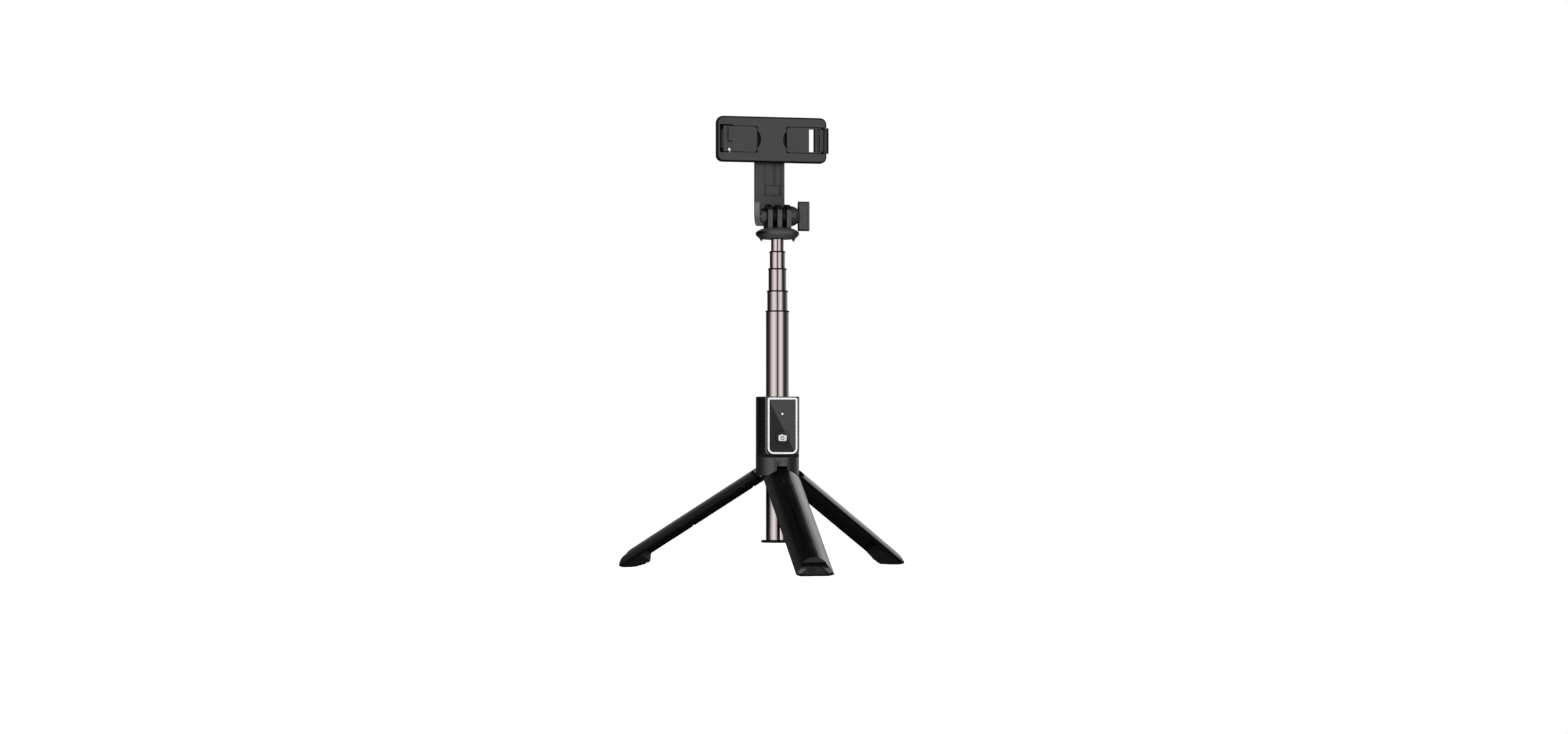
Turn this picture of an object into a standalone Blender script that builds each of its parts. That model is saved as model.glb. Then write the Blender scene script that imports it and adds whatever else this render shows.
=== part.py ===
"""Mini tripod selfie stick with a pull-out remote: a five-stage pole on three folding legs.

The pole axis is vertical, the remote faces -Y, the thumb knob is at +X and the ground is z = 0.
Run with: blender --background --python part.py
"""

import math

import bmesh
import bpy
from mathutils import Matrix, Vector

MM = 0.001
GAP = 0.3 * MM

# Pole: five nested tubes, the first one outermost. Tops are heights above the ground.
TUBE_RADII = [7.5 * MM, 6.65 * MM, 5.82 * MM, 5.0 * MM, 4.15 * MM]
TUBE_TOPS = [166.9 * MM, 180.0 * MM, 194.4 * MM, 205.6 * MM, 214.4 * MM]
TUBE_WALL = 0.4 * MM
COLLAR_HEIGHT = 0.9 * MM
COLLAR_PROUD = 0.28 * MM
END_CAP_RADIUS = 10.7 * MM
END_CAP_BOTTOM = 17.2 * MM
END_CAP_HEIGHT = 1.6 * MM
SPIGOT_HEIGHT = 2.5 * MM
SLEEVE_HEIGHT = 2.2 * MM

# Handle
HANDLE_RADIUS = 14.1 * MM
HANDLE_BOTTOM = 60.6 * MM
HUB_RADIUS = 10.6 * MM
HUB_BOTTOM = 58.0 * MM
HANDLE_TOP = 112.0 * MM
BORE_RADIUS = 8.8 * MM
POCKET_HALF_WIDTH = 10.15 * MM
POCKET_FLOOR_Y = -9.9 * MM
POCKET_BOTTOM = 74.4 * MM
SURROUND_HALF_WIDTH = 11.3 * MM
SURROUND_FRONT_Y = -14.3 * MM
SURROUND_BOTTOM = 72.3 * MM
PEG_OFFSET = 10.7 * MM

# Legs: hinge pins lie on a circle round the pole, and the legs stand open this far from straight down.
LEG_OPEN = math.radians(58.2)
HINGE_RING = 10.8 * MM
HINGE_HEIGHT = 64.0 * MM
LEG_INNER_RADIUS = 11.6 * MM
LEG_TOP_RADIUS = 5.05 * MM
WEDGE_SETBACK = 0.2 * MM
LUG_WIDTH = 6.4 * MM
SLOT_WIDTH = 7.0 * MM
SLOT_TOP = 66.95 * MM
PIN_RADIUS = 0.9 * MM
PIN_LENGTH = 12.0 * MM
NOSE_REACH = 105.5 * MM
NOSE_RADIUS = 5.5 * MM
TOE_RADIUS = 2.0 * MM
FOOT_START = 97.0 * MM
LEGS = {"front": 0.0, "right": 120.0, "left": -120.0}

# Remote
REMOTE_WIDTH = 19.7 * MM
REMOTE_BOTTOM = 74.8 * MM
REMOTE_TOP = 111.2 * MM
REMOTE_FRONT_Y = -15.2 * MM
REMOTE_BACK_Y = -10.2 * MM
BEZEL_WIDTH = 1.2 * MM
BUTTON_HEIGHT = 85.5 * MM
BUTTON_RADIUS = 4.7 * MM
LED_HEIGHT = 100.7 * MM
CELL_HEIGHT = 99.4 * MM

# Head: three-prong hinge on a disc
TILT_HEIGHT = 229.6 * MM
DISC_BOTTOM = 214.7 * MM
PRONG_RADIUS = 7.5 * MM
PRONG_PITCH = 6.25 * MM
HEAD_PRONG = 3.0 * MM
ARM_PRONG = 2.7 * MM
ARM_PRONG_RADIUS = 6.3 * MM
BOLT_RADIUS = 2.2 * MM

# Tilt arm: a J from the hinge back and up to a flat stem
STEM_FRONT_Y = 22.3 * MM
STEM_BACK_Y = 25.8 * MM
STEM_WIDTH = 19.8 * MM
STEM_TOP = 289.4 * MM

# Phone holder
HOLDER_HEIGHT = 280.9 * MM
HOLDER_LENGTH = 74.0 * MM
HOLDER_WIDTH = 30.0 * MM
HOLDER_CORNER = 4.3 * MM
SHELL_FRONT_Y = 15.8 * MM
SHELL_BACK_Y = 20.2 * MM
COVER_BACK_Y = 22.0 * MM
WINDOW_HALF = 8.7 * MM
ARM_HALF = 8.35 * MM
LEFT_HINGE_X = -33.0 * MM
RIGHT_HINGE_X = 36.1 * MM
BARREL_RADIUS = 2.5 * MM
BARREL_HALF = 7.0 * MM
EAR_HEIGHT = 1.0 * MM
CLAMP_HINGE_Y = 17.6 * MM
SLIT_LEFT = 25.0 * MM
SLIT_RIGHT = 29.3 * MM
SLIT_HALF = 7.6 * MM
DOT_X = -28.4 * MM
DOT_DROP = 6.9 * MM
SPRING_OFFSET = 11.6 * MM
COVER_SCREW_DROP = 12.3 * MM
COVER_SCREWS = [(x, dz) for x in (-31.0 * MM, 7.4 * MM) for dz in (COVER_SCREW_DROP, -COVER_SCREW_DROP)]
SPRING_START = 15.4 * MM
SPRING_END = 35.0 * MM
SPRING_TURNS = 7

FINE = 48
MEDIUM = 32
SMALL = 16


# Scene and collections
for old in list(bpy.data.objects):
    bpy.data.objects.remove(old, do_unlink=True)

PARTS = bpy.data.collections.new("selfie_stick")
CUTTERS = bpy.data.collections.new("cutters")
bpy.context.scene.collection.children.link(PARTS)
bpy.context.scene.collection.children.link(CUTTERS)


def material(name, colour, roughness, metallic=0.0):
    made = bpy.data.materials.new(name)
    made.use_nodes = True
    shader = made.node_tree.nodes["Principled BSDF"]
    shader.inputs["Base Color"].default_value = (*colour, 1.0)
    shader.inputs["Roughness"].default_value = roughness
    shader.inputs["Metallic"].default_value = metallic
    made.diffuse_color = (*colour, 1.0)
    return made


def empty(name, parent=None, location=(0, 0, 0), rotation=(0, 0, 0)):
    made = bpy.data.objects.new(name, None)
    PARTS.objects.link(made)
    made.parent = parent
    made.location = location
    made.rotation_euler = rotation
    return made


ROOT = empty("pole_foot_point")


def place(name, mesh, look=None, parent=ROOT, location=(0, 0, 0), rotation=(0, 0, 0)):
    """Adds an object: a part when it has a look, otherwise a hidden cutter."""
    made = bpy.data.objects.new(name, mesh)
    (PARTS if look else CUTTERS).objects.link(made)
    if look:
        mesh.materials.clear()
        mesh.materials.append(material(name, *look))
    else:
        made.hide_render = True
        made.display_type = "WIRE"
    made.parent = parent
    made.location = location
    made.rotation_euler = rotation
    return made


def smooth(mesh, angle=35.0):
    mesh.shade_smooth()
    mesh.set_sharp_from_angle(angle=math.radians(angle))


def box_mesh(name, low, high):
    bm = bmesh.new()
    bmesh.ops.create_cube(bm, size=1.0)
    size = Vector(high) - Vector(low)
    bmesh.ops.scale(bm, vec=size, verts=bm.verts)
    bmesh.ops.translate(bm, vec=(Vector(high) + Vector(low)) / 2, verts=bm.verts)
    mesh = bpy.data.meshes.new(name)
    bm.to_mesh(mesh)
    bm.free()
    return mesh


AXIS_TURNS = {
    "X": Matrix.Rotation(math.pi / 2, 3, "Y"),
    "Y": Matrix.Rotation(-math.pi / 2, 3, "X"),
    "Z": Matrix.Identity(3),
}


def rod_mesh(name, rods, segments):
    """Cylinders in one mesh. Each rod is (axis, start point, length, radius)."""
    bm = bmesh.new()
    for axis, start, length, radius in rods:
        step = bmesh.ops.create_cone(
            bm, cap_ends=True, segments=segments, radius1=radius, radius2=radius, depth=length
        )
        bmesh.ops.translate(bm, vec=(0, 0, length / 2), verts=step["verts"])
        bmesh.ops.rotate(bm, matrix=AXIS_TURNS[axis], verts=step["verts"])
        bmesh.ops.translate(bm, vec=start, verts=step["verts"])
    mesh = bpy.data.meshes.new(name)
    bm.to_mesh(mesh)
    bm.free()
    smooth(mesh)
    return mesh


def turned(name, profile, look=None, segments=FINE, ring=False, **where):
    """Turns an (r, z) profile about the vertical. It runs down the outside, top to bottom."""
    mesh = bpy.data.meshes.new(name)
    points = [(r, 0.0, z) for r, z in profile]
    edges = [(i, i + 1) for i in range(len(points) - 1)]
    if ring:
        edges.append((len(points) - 1, 0))
    mesh.from_pydata(points, edges, [])
    made = place(name, mesh, look, **where)
    screw = made.modifiers.new("turn", "SCREW")
    screw.axis = "Z"
    screw.steps = segments
    screw.render_steps = segments
    screw.use_merge_vertices = True
    screw.merge_threshold = 0.00001
    screw.use_smooth_shade = False
    return made


def baked(made, angle=35.0):
    """Turns an object's modifiers and curve into plain mesh, welded and shaded."""
    bpy.context.view_layer.update()
    graph = bpy.context.evaluated_depsgraph_get()
    mesh = bpy.data.meshes.new_from_object(made.evaluated_get(graph))
    bm = bmesh.new()
    bm.from_mesh(mesh)
    bmesh.ops.remove_doubles(bm, verts=bm.verts, dist=0.000002)
    bmesh.ops.dissolve_degenerate(bm, edges=bm.edges, dist=0.000001)
    bm.to_mesh(mesh)
    bm.free()
    mesh.name = made.name
    smooth(mesh, angle)
    if made.type == "MESH":
        made.modifiers.clear()
        made.data = mesh
        return made
    name, parent, matrix = made.name, made.parent, made.matrix_world.copy()
    collections = list(made.users_collection)
    bpy.data.objects.remove(made, do_unlink=True)
    made = bpy.data.objects.new(name, mesh)
    for collection in collections:
        collection.objects.link(made)
    made.parent = parent
    made.matrix_world = matrix
    return made


def arc(centre, radius, start, end, steps, radius_v=None):
    """Points on a circular or elliptical arc, angles in degrees."""
    radius_v = radius if radius_v is None else radius_v
    points = []
    for i in range(steps + 1):
        angle = math.radians(start + (end - start) * i / steps)
        points.append((centre[0] + radius * math.cos(angle), centre[1] + radius_v * math.sin(angle)))
    return points


def rounded(width, height, corners, steps=4, centre=(0.0, 0.0)):
    """A rectangle's outline with a radius at each corner: bottom right, top right, top left, bottom left."""
    points = []
    signs = [(1, -1), (1, 1), (-1, 1), (-1, -1)]
    for (sx, sy), radius, start in zip(signs, corners, (-90, 0, 90, 180)):
        middle = (
            centre[0] + sx * (width / 2 - radius),
            centre[1] + sy * (height / 2 - radius),
        )
        points += arc(middle, radius, start, start + 90, steps)
    return points


FACING = {
    "Z": Matrix.Identity(4),
    "X": Matrix(((0, 0, 1, 0), (1, 0, 0, 0), (0, 1, 0, 0), (0, 0, 0, 1))),
    "Y": Matrix(((1, 0, 0, 0), (0, 0, -1, 0), (0, 1, 0, 0), (0, 0, 0, 1))),
}


def flat(name, outline, low, high, axis, look=None, angle=35.0, **where):
    """A flat outline given thickness from low to high along an axis.

    The outline is (x, y) for axis Z, (y, z) for axis X and (x, z) for axis Y.
    """
    curve = bpy.data.curves.new(name, "CURVE")
    curve.dimensions = "2D"
    curve.fill_mode = "BOTH"
    curve.extrude = (high - low) / 2
    spline = curve.splines.new("POLY")
    spline.points.add(len(outline) - 1)
    for point, (u, v) in zip(spline.points, outline):
        point.co = (u, v, 0.0, 1.0)
    spline.use_cyclic_u = True
    holder = bpy.data.objects.new(name + "_outline", curve)
    CUTTERS.objects.link(holder)
    solid = baked(holder, angle)
    mesh = solid.data
    shift = -1.0 if axis == "Y" else 1.0
    middle = Matrix.Translation((0, 0, shift * (high + low) / 2))
    mesh.transform(FACING[axis] @ middle)
    bpy.data.objects.remove(solid, do_unlink=True)
    mesh.name = name
    return place(name, mesh, look, **where)


def boolean(made, others, operation):
    for other in others:
        step = made.modifiers.new(operation.lower() + "_" + other.name, "BOOLEAN")
        step.operation = operation
        step.solver = "EXACT"
        step.object = other
    return made


def cut(made, *cutters):
    return boolean(made, cutters, "DIFFERENCE")


def add(made, *others):
    return boolean(made, others, "UNION")


def keep_inside(made, *others):
    return boolean(made, others, "INTERSECT")


def box(name, low, high, look=None, **where):
    return place(name, box_mesh(name, low, high), look, **where)


def rods(name, items, segments=SMALL, look=None, **where):
    return place(name, rod_mesh(name, items, segments), look, **where)


def bevel(made, width, segments=2, angle=40.0):
    step = made.modifiers.new("soft_edges", "BEVEL")
    step.width = width
    step.segments = segments
    step.limit_method = "ANGLE"
    step.angle_limit = math.radians(angle)
    return made


GLOSS_BLACK = ((0.012, 0.012, 0.013), 0.18)
MATT_BLACK = ((0.035, 0.035, 0.036), 0.5)
DARK_PLASTIC = ((0.02, 0.02, 0.021), 0.42)
RUBBER = ((0.022, 0.022, 0.022), 0.8)
NYLON = ((0.05, 0.05, 0.052), 0.55)
STEEL = ((0.55, 0.54, 0.53), 0.25, 1.0)
GUN_METAL = ((0.60, 0.55, 0.54), 0.14, 1.0)
SILVER_FRAME = ((0.80, 0.80, 0.80), 0.2, 1.0)
LED_LENS = ((0.85, 0.88, 0.9), 0.2)
BOARD_GREEN = ((0.02, 0.12, 0.05), 0.5)


# Handle
def make_handle():
    body = place(
        "handle_body",
        rod_mesh(
            "handle_body",
            [("Z", (0, 0, HANDLE_BOTTOM), HANDLE_TOP - HANDLE_BOTTOM, HANDLE_RADIUS)],
            FINE,
        ),
        GLOSS_BLACK,
    )
    bevel(body, 0.5 * MM)
    surround = flat(
        "surround_block",
        rounded(
            2 * SURROUND_HALF_WIDTH,
            HANDLE_TOP - SURROUND_BOTTOM,
            (5 * MM, 0.6 * MM, 0.6 * MM, 5 * MM),
            5,
            (0, (HANDLE_TOP + SURROUND_BOTTOM) / 2),
        ),
        SURROUND_FRONT_Y,
        -4 * MM,
        "Y",
    )
    bevel(surround, 0.9 * MM, 2, 60)
    pocket = flat(
        "pocket_space",
        rounded(
            2 * POCKET_HALF_WIDTH,
            60 * MM,
            (3.2 * MM, 0.6 * MM, 0.6 * MM, 3.2 * MM),
            5,
            (0, POCKET_BOTTOM + 30 * MM),
        ),
        SURROUND_FRONT_Y - 5 * MM,
        POCKET_FLOOR_Y,
        "Y",
    )
    thumb = box(
        "thumb_space",
        (-4.5 * MM, SURROUND_FRONT_Y - 2 * MM, SURROUND_BOTTOM - 2 * MM),
        (4.5 * MM, -12.6 * MM, POCKET_BOTTOM + 1 * MM),
    )
    grooves = [
        box(
            "groove_space_" + side,
            (min(x, sx * 9 * MM), -12.8 * MM, POCKET_BOTTOM + 2 * MM),
            (max(x, sx * 9 * MM), -11.4 * MM, HANDLE_TOP + 5 * MM),
        )
        for side, sx, x in (("left", -1, -10.7 * MM), ("right", 1, 10.7 * MM))
    ]
    bore = rods("bore_space", [("Z", (0, 0, 40 * MM), 90 * MM, BORE_RADIUS)], FINE)
    hub_height = HANDLE_BOTTOM + 1 * MM - HUB_BOTTOM
    hub = rods("lower_hub", [("Z", (0, 0, HUB_BOTTOM), hub_height, HUB_RADIUS)], FINE)
    add(body, surround, hub)
    cut(body, bore, pocket, thumb, *grooves)
    for name, turn in LEGS.items():
        rotation = (0, 0, math.radians(turn))
        slot = box(
            "slot_space_" + name,
            (-SLOT_WIDTH / 2, -20 * MM, 50 * MM),
            (SLOT_WIDTH / 2, -7 * MM, SLOT_TOP),
            rotation=rotation,
        )
        bed = rods(
            "pin_space_" + name,
            [("X", (-PIN_LENGTH / 2 - GAP, -HINGE_RING, HINGE_HEIGHT), PIN_LENGTH + 2 * GAP, PIN_RADIUS + GAP)],
            rotation=rotation,
        )
        cut(body, slot, bed)
    baked(body)
    for name, low, high in (
        ("lower_guide_bush", 61.5 * MM, 74.5 * MM),
        ("upper_guide_bush", 98.0 * MM, 104.5 * MM),
    ):
        ring_profile = [
            (BORE_RADIUS - GAP, high),
            (BORE_RADIUS - GAP, low),
            (TUBE_RADII[0] + GAP, low),
            (TUBE_RADII[0] + GAP, high),
        ]
        baked(turned(name, ring_profile, NYLON, MEDIUM, ring=True))
    for name, turn in LEGS.items():
        rods(
            "leg_pin_" + name,
            [("X", (-PIN_LENGTH / 2, 0, 0), PIN_LENGTH, PIN_RADIUS)],
            look=STEEL,
            location=(
                HINGE_RING * math.sin(math.radians(turn)),
                -HINGE_RING * math.cos(math.radians(turn)),
                HINGE_HEIGHT,
            ),
            rotation=(0, 0, math.radians(turn)),
        )


# Legs, each drawn hanging straight down from its hinge, outer side towards -Y
def in_leg(reach, height):
    """A point given by its distance from the pole and its height when open, as the leg's own (y, z)."""
    outward = reach - HINGE_RING
    up = height - HINGE_HEIGHT
    along = outward * math.sin(LEG_OPEN) - up * math.cos(LEG_OPEN)
    depth = -outward * math.cos(LEG_OPEN) - up * math.sin(LEG_OPEN)
    return (depth, -along)


def wedge_angle(radius):
    """Half-angle at which a leg's side face meets a circle round the pole."""
    return 60.0 - math.degrees(math.asin(WEDGE_SETBACK * math.sin(math.radians(60)) / radius))


def leg_side_outline():
    """The leg's outline from the side, with the blunt nose and the sole."""
    nose = arc((NOSE_REACH - NOSE_RADIUS, 3.6 * MM), NOSE_RADIUS, 65, 0, 5)
    toe = arc((NOSE_REACH - TOE_RADIUS, TOE_RADIUS), TOE_RADIUS, 0, -90, 4)
    sole = [(99.5 * MM, 0.0), (91.4 * MM, 2.0 * MM), (90.2 * MM, 3.4 * MM)]
    lower = [in_leg(r, z) for r, z in nose + toe + sole]
    start = in_leg(99.0 * MM, 13.6 * MM)
    return [(13 * MM, 6 * MM), (-6 * MM, 6 * MM), (-6 * MM, start[1]), *lower, (13 * MM, -97.6 * MM)]


def make_leg(name, turn):
    hinge = empty(
        "hinge_" + name,
        ROOT,
        (
            HINGE_RING * math.sin(math.radians(turn)),
            -HINGE_RING * math.cos(math.radians(turn)),
            HINGE_HEIGHT,
        ),
        (0, 0, math.radians(turn)),
    )
    where = {"parent": hinge, "rotation": (-LEG_OPEN, 0, 0)}
    middle = (0.0, HINGE_RING)
    outer = wedge_angle(HANDLE_RADIUS)
    inner = wedge_angle(LEG_INNER_RADIUS)
    section = arc(middle, HANDLE_RADIUS, -90 - outer, -90 + outer, 16)
    section += arc(middle, LEG_INNER_RADIUS, -90 + inner, -90 - inner, 12)
    shell = flat("leg_shell_" + name, section, -125 * MM, -3.7 * MM, "Z", GLOSS_BLACK, **where)
    profile = leg_side_outline()
    side = flat("side_limit_" + name, profile, -16 * MM, 16 * MM, "X", **where)
    top = rods(
        "hinge_clearance_" + name,
        [("X", (-20 * MM, 0, 0), 40 * MM, LEG_TOP_RADIUS)],
        MEDIUM,
        **where,
    )
    keep_inside(shell, side)
    cut(shell, top)
    lug_outline = [
        (-0.5 * MM, -9.0 * MM),
        (-0.5 * MM, -4.6 * MM),
        *arc((0, 0), 2.0 * MM, -70, 150, 10),
        (-3.0 * MM, -0.2 * MM),
        (-3.0 * MM, -9.0 * MM),
    ]
    lug = flat("lug_" + name, lug_outline, -LUG_WIDTH / 2, LUG_WIDTH / 2, "X", **where)
    hole = rods(
        "lug_hole_" + name,
        [("X", (-8 * MM, 0, 0), 16 * MM, PIN_RADIUS + GAP)],
        **where,
    )
    notch = box(
        "toe_notch_" + name,
        (1.0 * MM, -4.5 * MM, -111.0 * MM),
        (7.0 * MM, -1.6 * MM, -108.4 * MM),
        **where,
    )
    dimples = rods(
        "side_dimples_" + name,
        [
            ("X", (sx * 11.2 * MM - 1.6 * MM, 4.2 * MM, -along * MM), 3.2 * MM, 0.7 * MM)
            for sx in (-1, 1)
            for along in (13.0, 62.0)
        ],
        12,
        **where,
    )
    add(shell, lug)
    cut(shell, hole, notch, dimples)
    baked(shell, 30)

    foot_radius = LEG_INNER_RADIUS - GAP
    foot_angle = wedge_angle(foot_radius)
    wedge = [(0.0, HINGE_RING - WEDGE_SETBACK)]
    wedge += arc(middle, foot_radius, -90 - foot_angle, -90 + foot_angle, 12)
    foot = flat("leg_foot_" + name, wedge, -125 * MM, -FOOT_START, "Z", RUBBER, **where)
    sole = flat("sole_limit_" + name, profile, -15 * MM, 15 * MM, "X", **where)
    keep_inside(foot, sole)
    baked(foot, 30)


# Pole
def make_pole():
    floor = END_CAP_BOTTOM + END_CAP_HEIGHT + SPIGOT_HEIGHT + GAP
    cap = [
        (0.0, floor),
        (TUBE_RADII[0] - TUBE_WALL - GAP, floor),
        (TUBE_RADII[0] - TUBE_WALL - GAP, END_CAP_BOTTOM + END_CAP_HEIGHT),
        (END_CAP_RADIUS - 0.3 * MM, END_CAP_BOTTOM + END_CAP_HEIGHT),
        (END_CAP_RADIUS, END_CAP_BOTTOM + END_CAP_HEIGHT - 0.3 * MM),
        (END_CAP_RADIUS, END_CAP_BOTTOM + 0.3 * MM),
        (END_CAP_RADIUS - 0.3 * MM, END_CAP_BOTTOM),
        (0.0, END_CAP_BOTTOM),
    ]
    baked(turned("pole_end_cap", cap, DARK_PLASTIC, MEDIUM))
    bottoms = [END_CAP_BOTTOM + END_CAP_HEIGHT + GAP]
    for i in range(1, 5):
        bottoms.append(tube_bottom(i))
    for i, radius in enumerate(TUBE_RADII):
        bore = radius - TUBE_WALL
        tube = [(radius, TUBE_TOPS[i]), (radius, bottoms[i]), (bore, bottoms[i]), (bore, TUBE_TOPS[i])]
        baked(turned("pole_tube_%d" % (i + 1), tube, GUN_METAL, ring=True))
        if i < 4:
            base = TUBE_TOPS[i] + 0.1 * MM
            rim = radius + COLLAR_PROUD
            throat = TUBE_RADII[i + 1] + 0.2 * MM
            collar = [
                (rim - 0.15 * MM, base + COLLAR_HEIGHT),
                (rim, base + COLLAR_HEIGHT - 0.2 * MM),
                (rim, base),
                (throat, base),
                (throat, base + COLLAR_HEIGHT),
            ]
            baked(turned("pole_collar_%d" % (i + 1), collar, DARK_PLASTIC, MEDIUM, ring=True))
        if i > 0:
            outside = TUBE_RADII[i - 1] - TUBE_WALL - 0.12 * MM
            seat = bottoms[i] - 0.2 * MM
            sleeve = [
                (bore - 0.2 * MM, seat + SPIGOT_HEIGHT),
                (bore - 0.2 * MM, seat),
                (outside, seat),
                (outside, seat - SLEEVE_HEIGHT),
                (bore - 1.0 * MM, seat - SLEEVE_HEIGHT),
                (bore - 1.0 * MM, seat + SPIGOT_HEIGHT),
            ]
            baked(turned("pole_sleeve_%d" % (i + 1), sleeve, NYLON, MEDIUM, ring=True))


def collapsed_drop(stage):
    """How far a stage slides down into the one below it, until its collar rests on the collar below."""
    rise = TUBE_TOPS[stage] - TUBE_TOPS[stage - 1]
    stacked = COLLAR_HEIGHT + GAP if stage < 4 else COLLAR_HEIGHT + 0.1 * MM
    return rise - stacked


def tube_bottom(stage):
    """A stage's lower end at rest: pushed in, its sleeve clears the sleeve or cap below it by 0.8 mm."""
    dropped = sum(collapsed_drop(i) for i in range(1, stage + 1))
    floor = END_CAP_BOTTOM + END_CAP_HEIGHT + SPIGOT_HEIGHT + GAP
    step = SLEEVE_HEIGHT + SPIGOT_HEIGHT + 0.8 * MM
    return floor + step * (stage - 1) + 0.8 * MM + SLEEVE_HEIGHT + 0.2 * MM + dropped


# Head
def make_head():
    plug_radius = TUBE_RADII[4] - TUBE_WALL - GAP
    disc = [
        (0.0, DISC_BOTTOM + 6.2 * MM),
        (11.0 * MM, DISC_BOTTOM + 6.2 * MM),
        (13.7 * MM, DISC_BOTTOM + 4.6 * MM),
        (HANDLE_RADIUS, DISC_BOTTOM + 4.2 * MM),
        (HANDLE_RADIUS, DISC_BOTTOM + 2.4 * MM),
        (11.6 * MM, DISC_BOTTOM),
        (plug_radius, DISC_BOTTOM),
        (plug_radius, DISC_BOTTOM - 9.0 * MM),
        (0.0, DISC_BOTTOM - 9.0 * MM),
    ]
    base = turned("head_base", disc, MATT_BLACK)
    foot = -TILT_HEIGHT + DISC_BOTTOM + 5.0 * MM
    prong_outline = arc((0, 0), PRONG_RADIUS, -20, 200, 14)
    prong_outline += [(-7.3 * MM, foot), (7.3 * MM, foot)]
    joined = []
    for i, x in enumerate((-PRONG_PITCH, 0.0, PRONG_PITCH)):
        joined.append(
            flat(
                "prong_%d" % (i + 1),
                prong_outline,
                x - HEAD_PRONG / 2,
                x + HEAD_PRONG / 2,
                "X",
                location=(0, 0, TILT_HEIGHT),
            )
        )
    boss_end = -PRONG_PITCH - HEAD_PRONG / 2 - 2.9 * MM
    joined.append(
        rods("nut_boss", [("X", (boss_end, 0, TILT_HEIGHT), 5.0 * MM, 4.7 * MM)], MEDIUM)
    )
    pegs = [
        turned(
            "peg_" + side,
            [
                (0.0, DISC_BOTTOM + 3.4 * MM),
                (1.0 * MM, DISC_BOTTOM + 3.4 * MM),
                (1.0 * MM, DISC_BOTTOM - 0.7 * MM),
                (0.0, DISC_BOTTOM - 1.9 * MM),
            ],
            segments=SMALL,
            location=(sx * PEG_OFFSET, 0, 0),
        )
        for side, sx in (("left", -1), ("right", 1))
    ]
    for peg in pegs:
        baked(peg)
    add(base, *joined, *pegs)
    hole = rods("bolt_space", [("X", (-15 * MM, 0, TILT_HEIGHT), 30 * MM, BOLT_RADIUS + GAP)], MEDIUM)
    nut_space = rods("nut_space", [("X", (boss_end - 1 * MM, 0, TILT_HEIGHT), 3.6 * MM, 3.9 * MM)], 6)
    cut(base, hole, nut_space)
    baked(base)

    nut = rods("head_nut", [("X", (boss_end + 0.1 * MM, 0, TILT_HEIGHT), 2.2 * MM, 3.55 * MM)], 6, STEEL)
    nut_bore = rods("nut_bore", [("X", (-15 * MM, 0, TILT_HEIGHT), 30 * MM, BOLT_RADIUS + GAP)], MEDIUM)
    cut(nut, nut_bore)
    baked(nut)

    bolt_start = boss_end + 0.4 * MM
    rods(
        "thumb_bolt",
        [("X", (bolt_start, 0, 0), 13.0 * MM - bolt_start, BOLT_RADIUS)],
        MEDIUM,
        STEEL,
        location=(0, 0, TILT_HEIGHT),
    )
    knob = flat(
        "thumb_knob",
        rounded(5.2 * MM, 19.2 * MM, (1.6 * MM,) * 4, 4),
        14.0 * MM,
        20.9 * MM,
        "X",
        DARK_PLASTIC,
        location=(0, 0, TILT_HEIGHT),
    )
    bevel(knob, 1.2 * MM, 3, 50)
    dome_profile = [
        (0.0, 14.9 * MM),
        *arc((0.0, 8.9 * MM), 6.6 * MM, 60, 0, 5, 6.2 * MM),
        (6.6 * MM, 8.05 * MM),
        (0.0, 8.05 * MM),
    ]
    dome = turned(
        "knob_dome",
        dome_profile,
        location=(0, 0, TILT_HEIGHT),
        rotation=(0, math.pi / 2, 0),
    )
    baked(dome)
    add(knob, dome)
    socket = rods("knob_socket", [("X", (5 * MM, 0, TILT_HEIGHT), 8.3 * MM, BOLT_RADIUS + GAP)], MEDIUM)
    grips = [
        box(
            "knob_grip_%d" % i,
            (16.2 * MM, sy * 2.6 * MM - 0.35 * MM, TILT_HEIGHT - 7.0 * MM),
            (19.4 * MM, sy * 2.6 * MM + 0.35 * MM, TILT_HEIGHT + 7.0 * MM),
        )
        for i, sy in enumerate((-1, 1))
    ]
    cut(knob, socket, *grips)
    baked(knob, 40)


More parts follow.
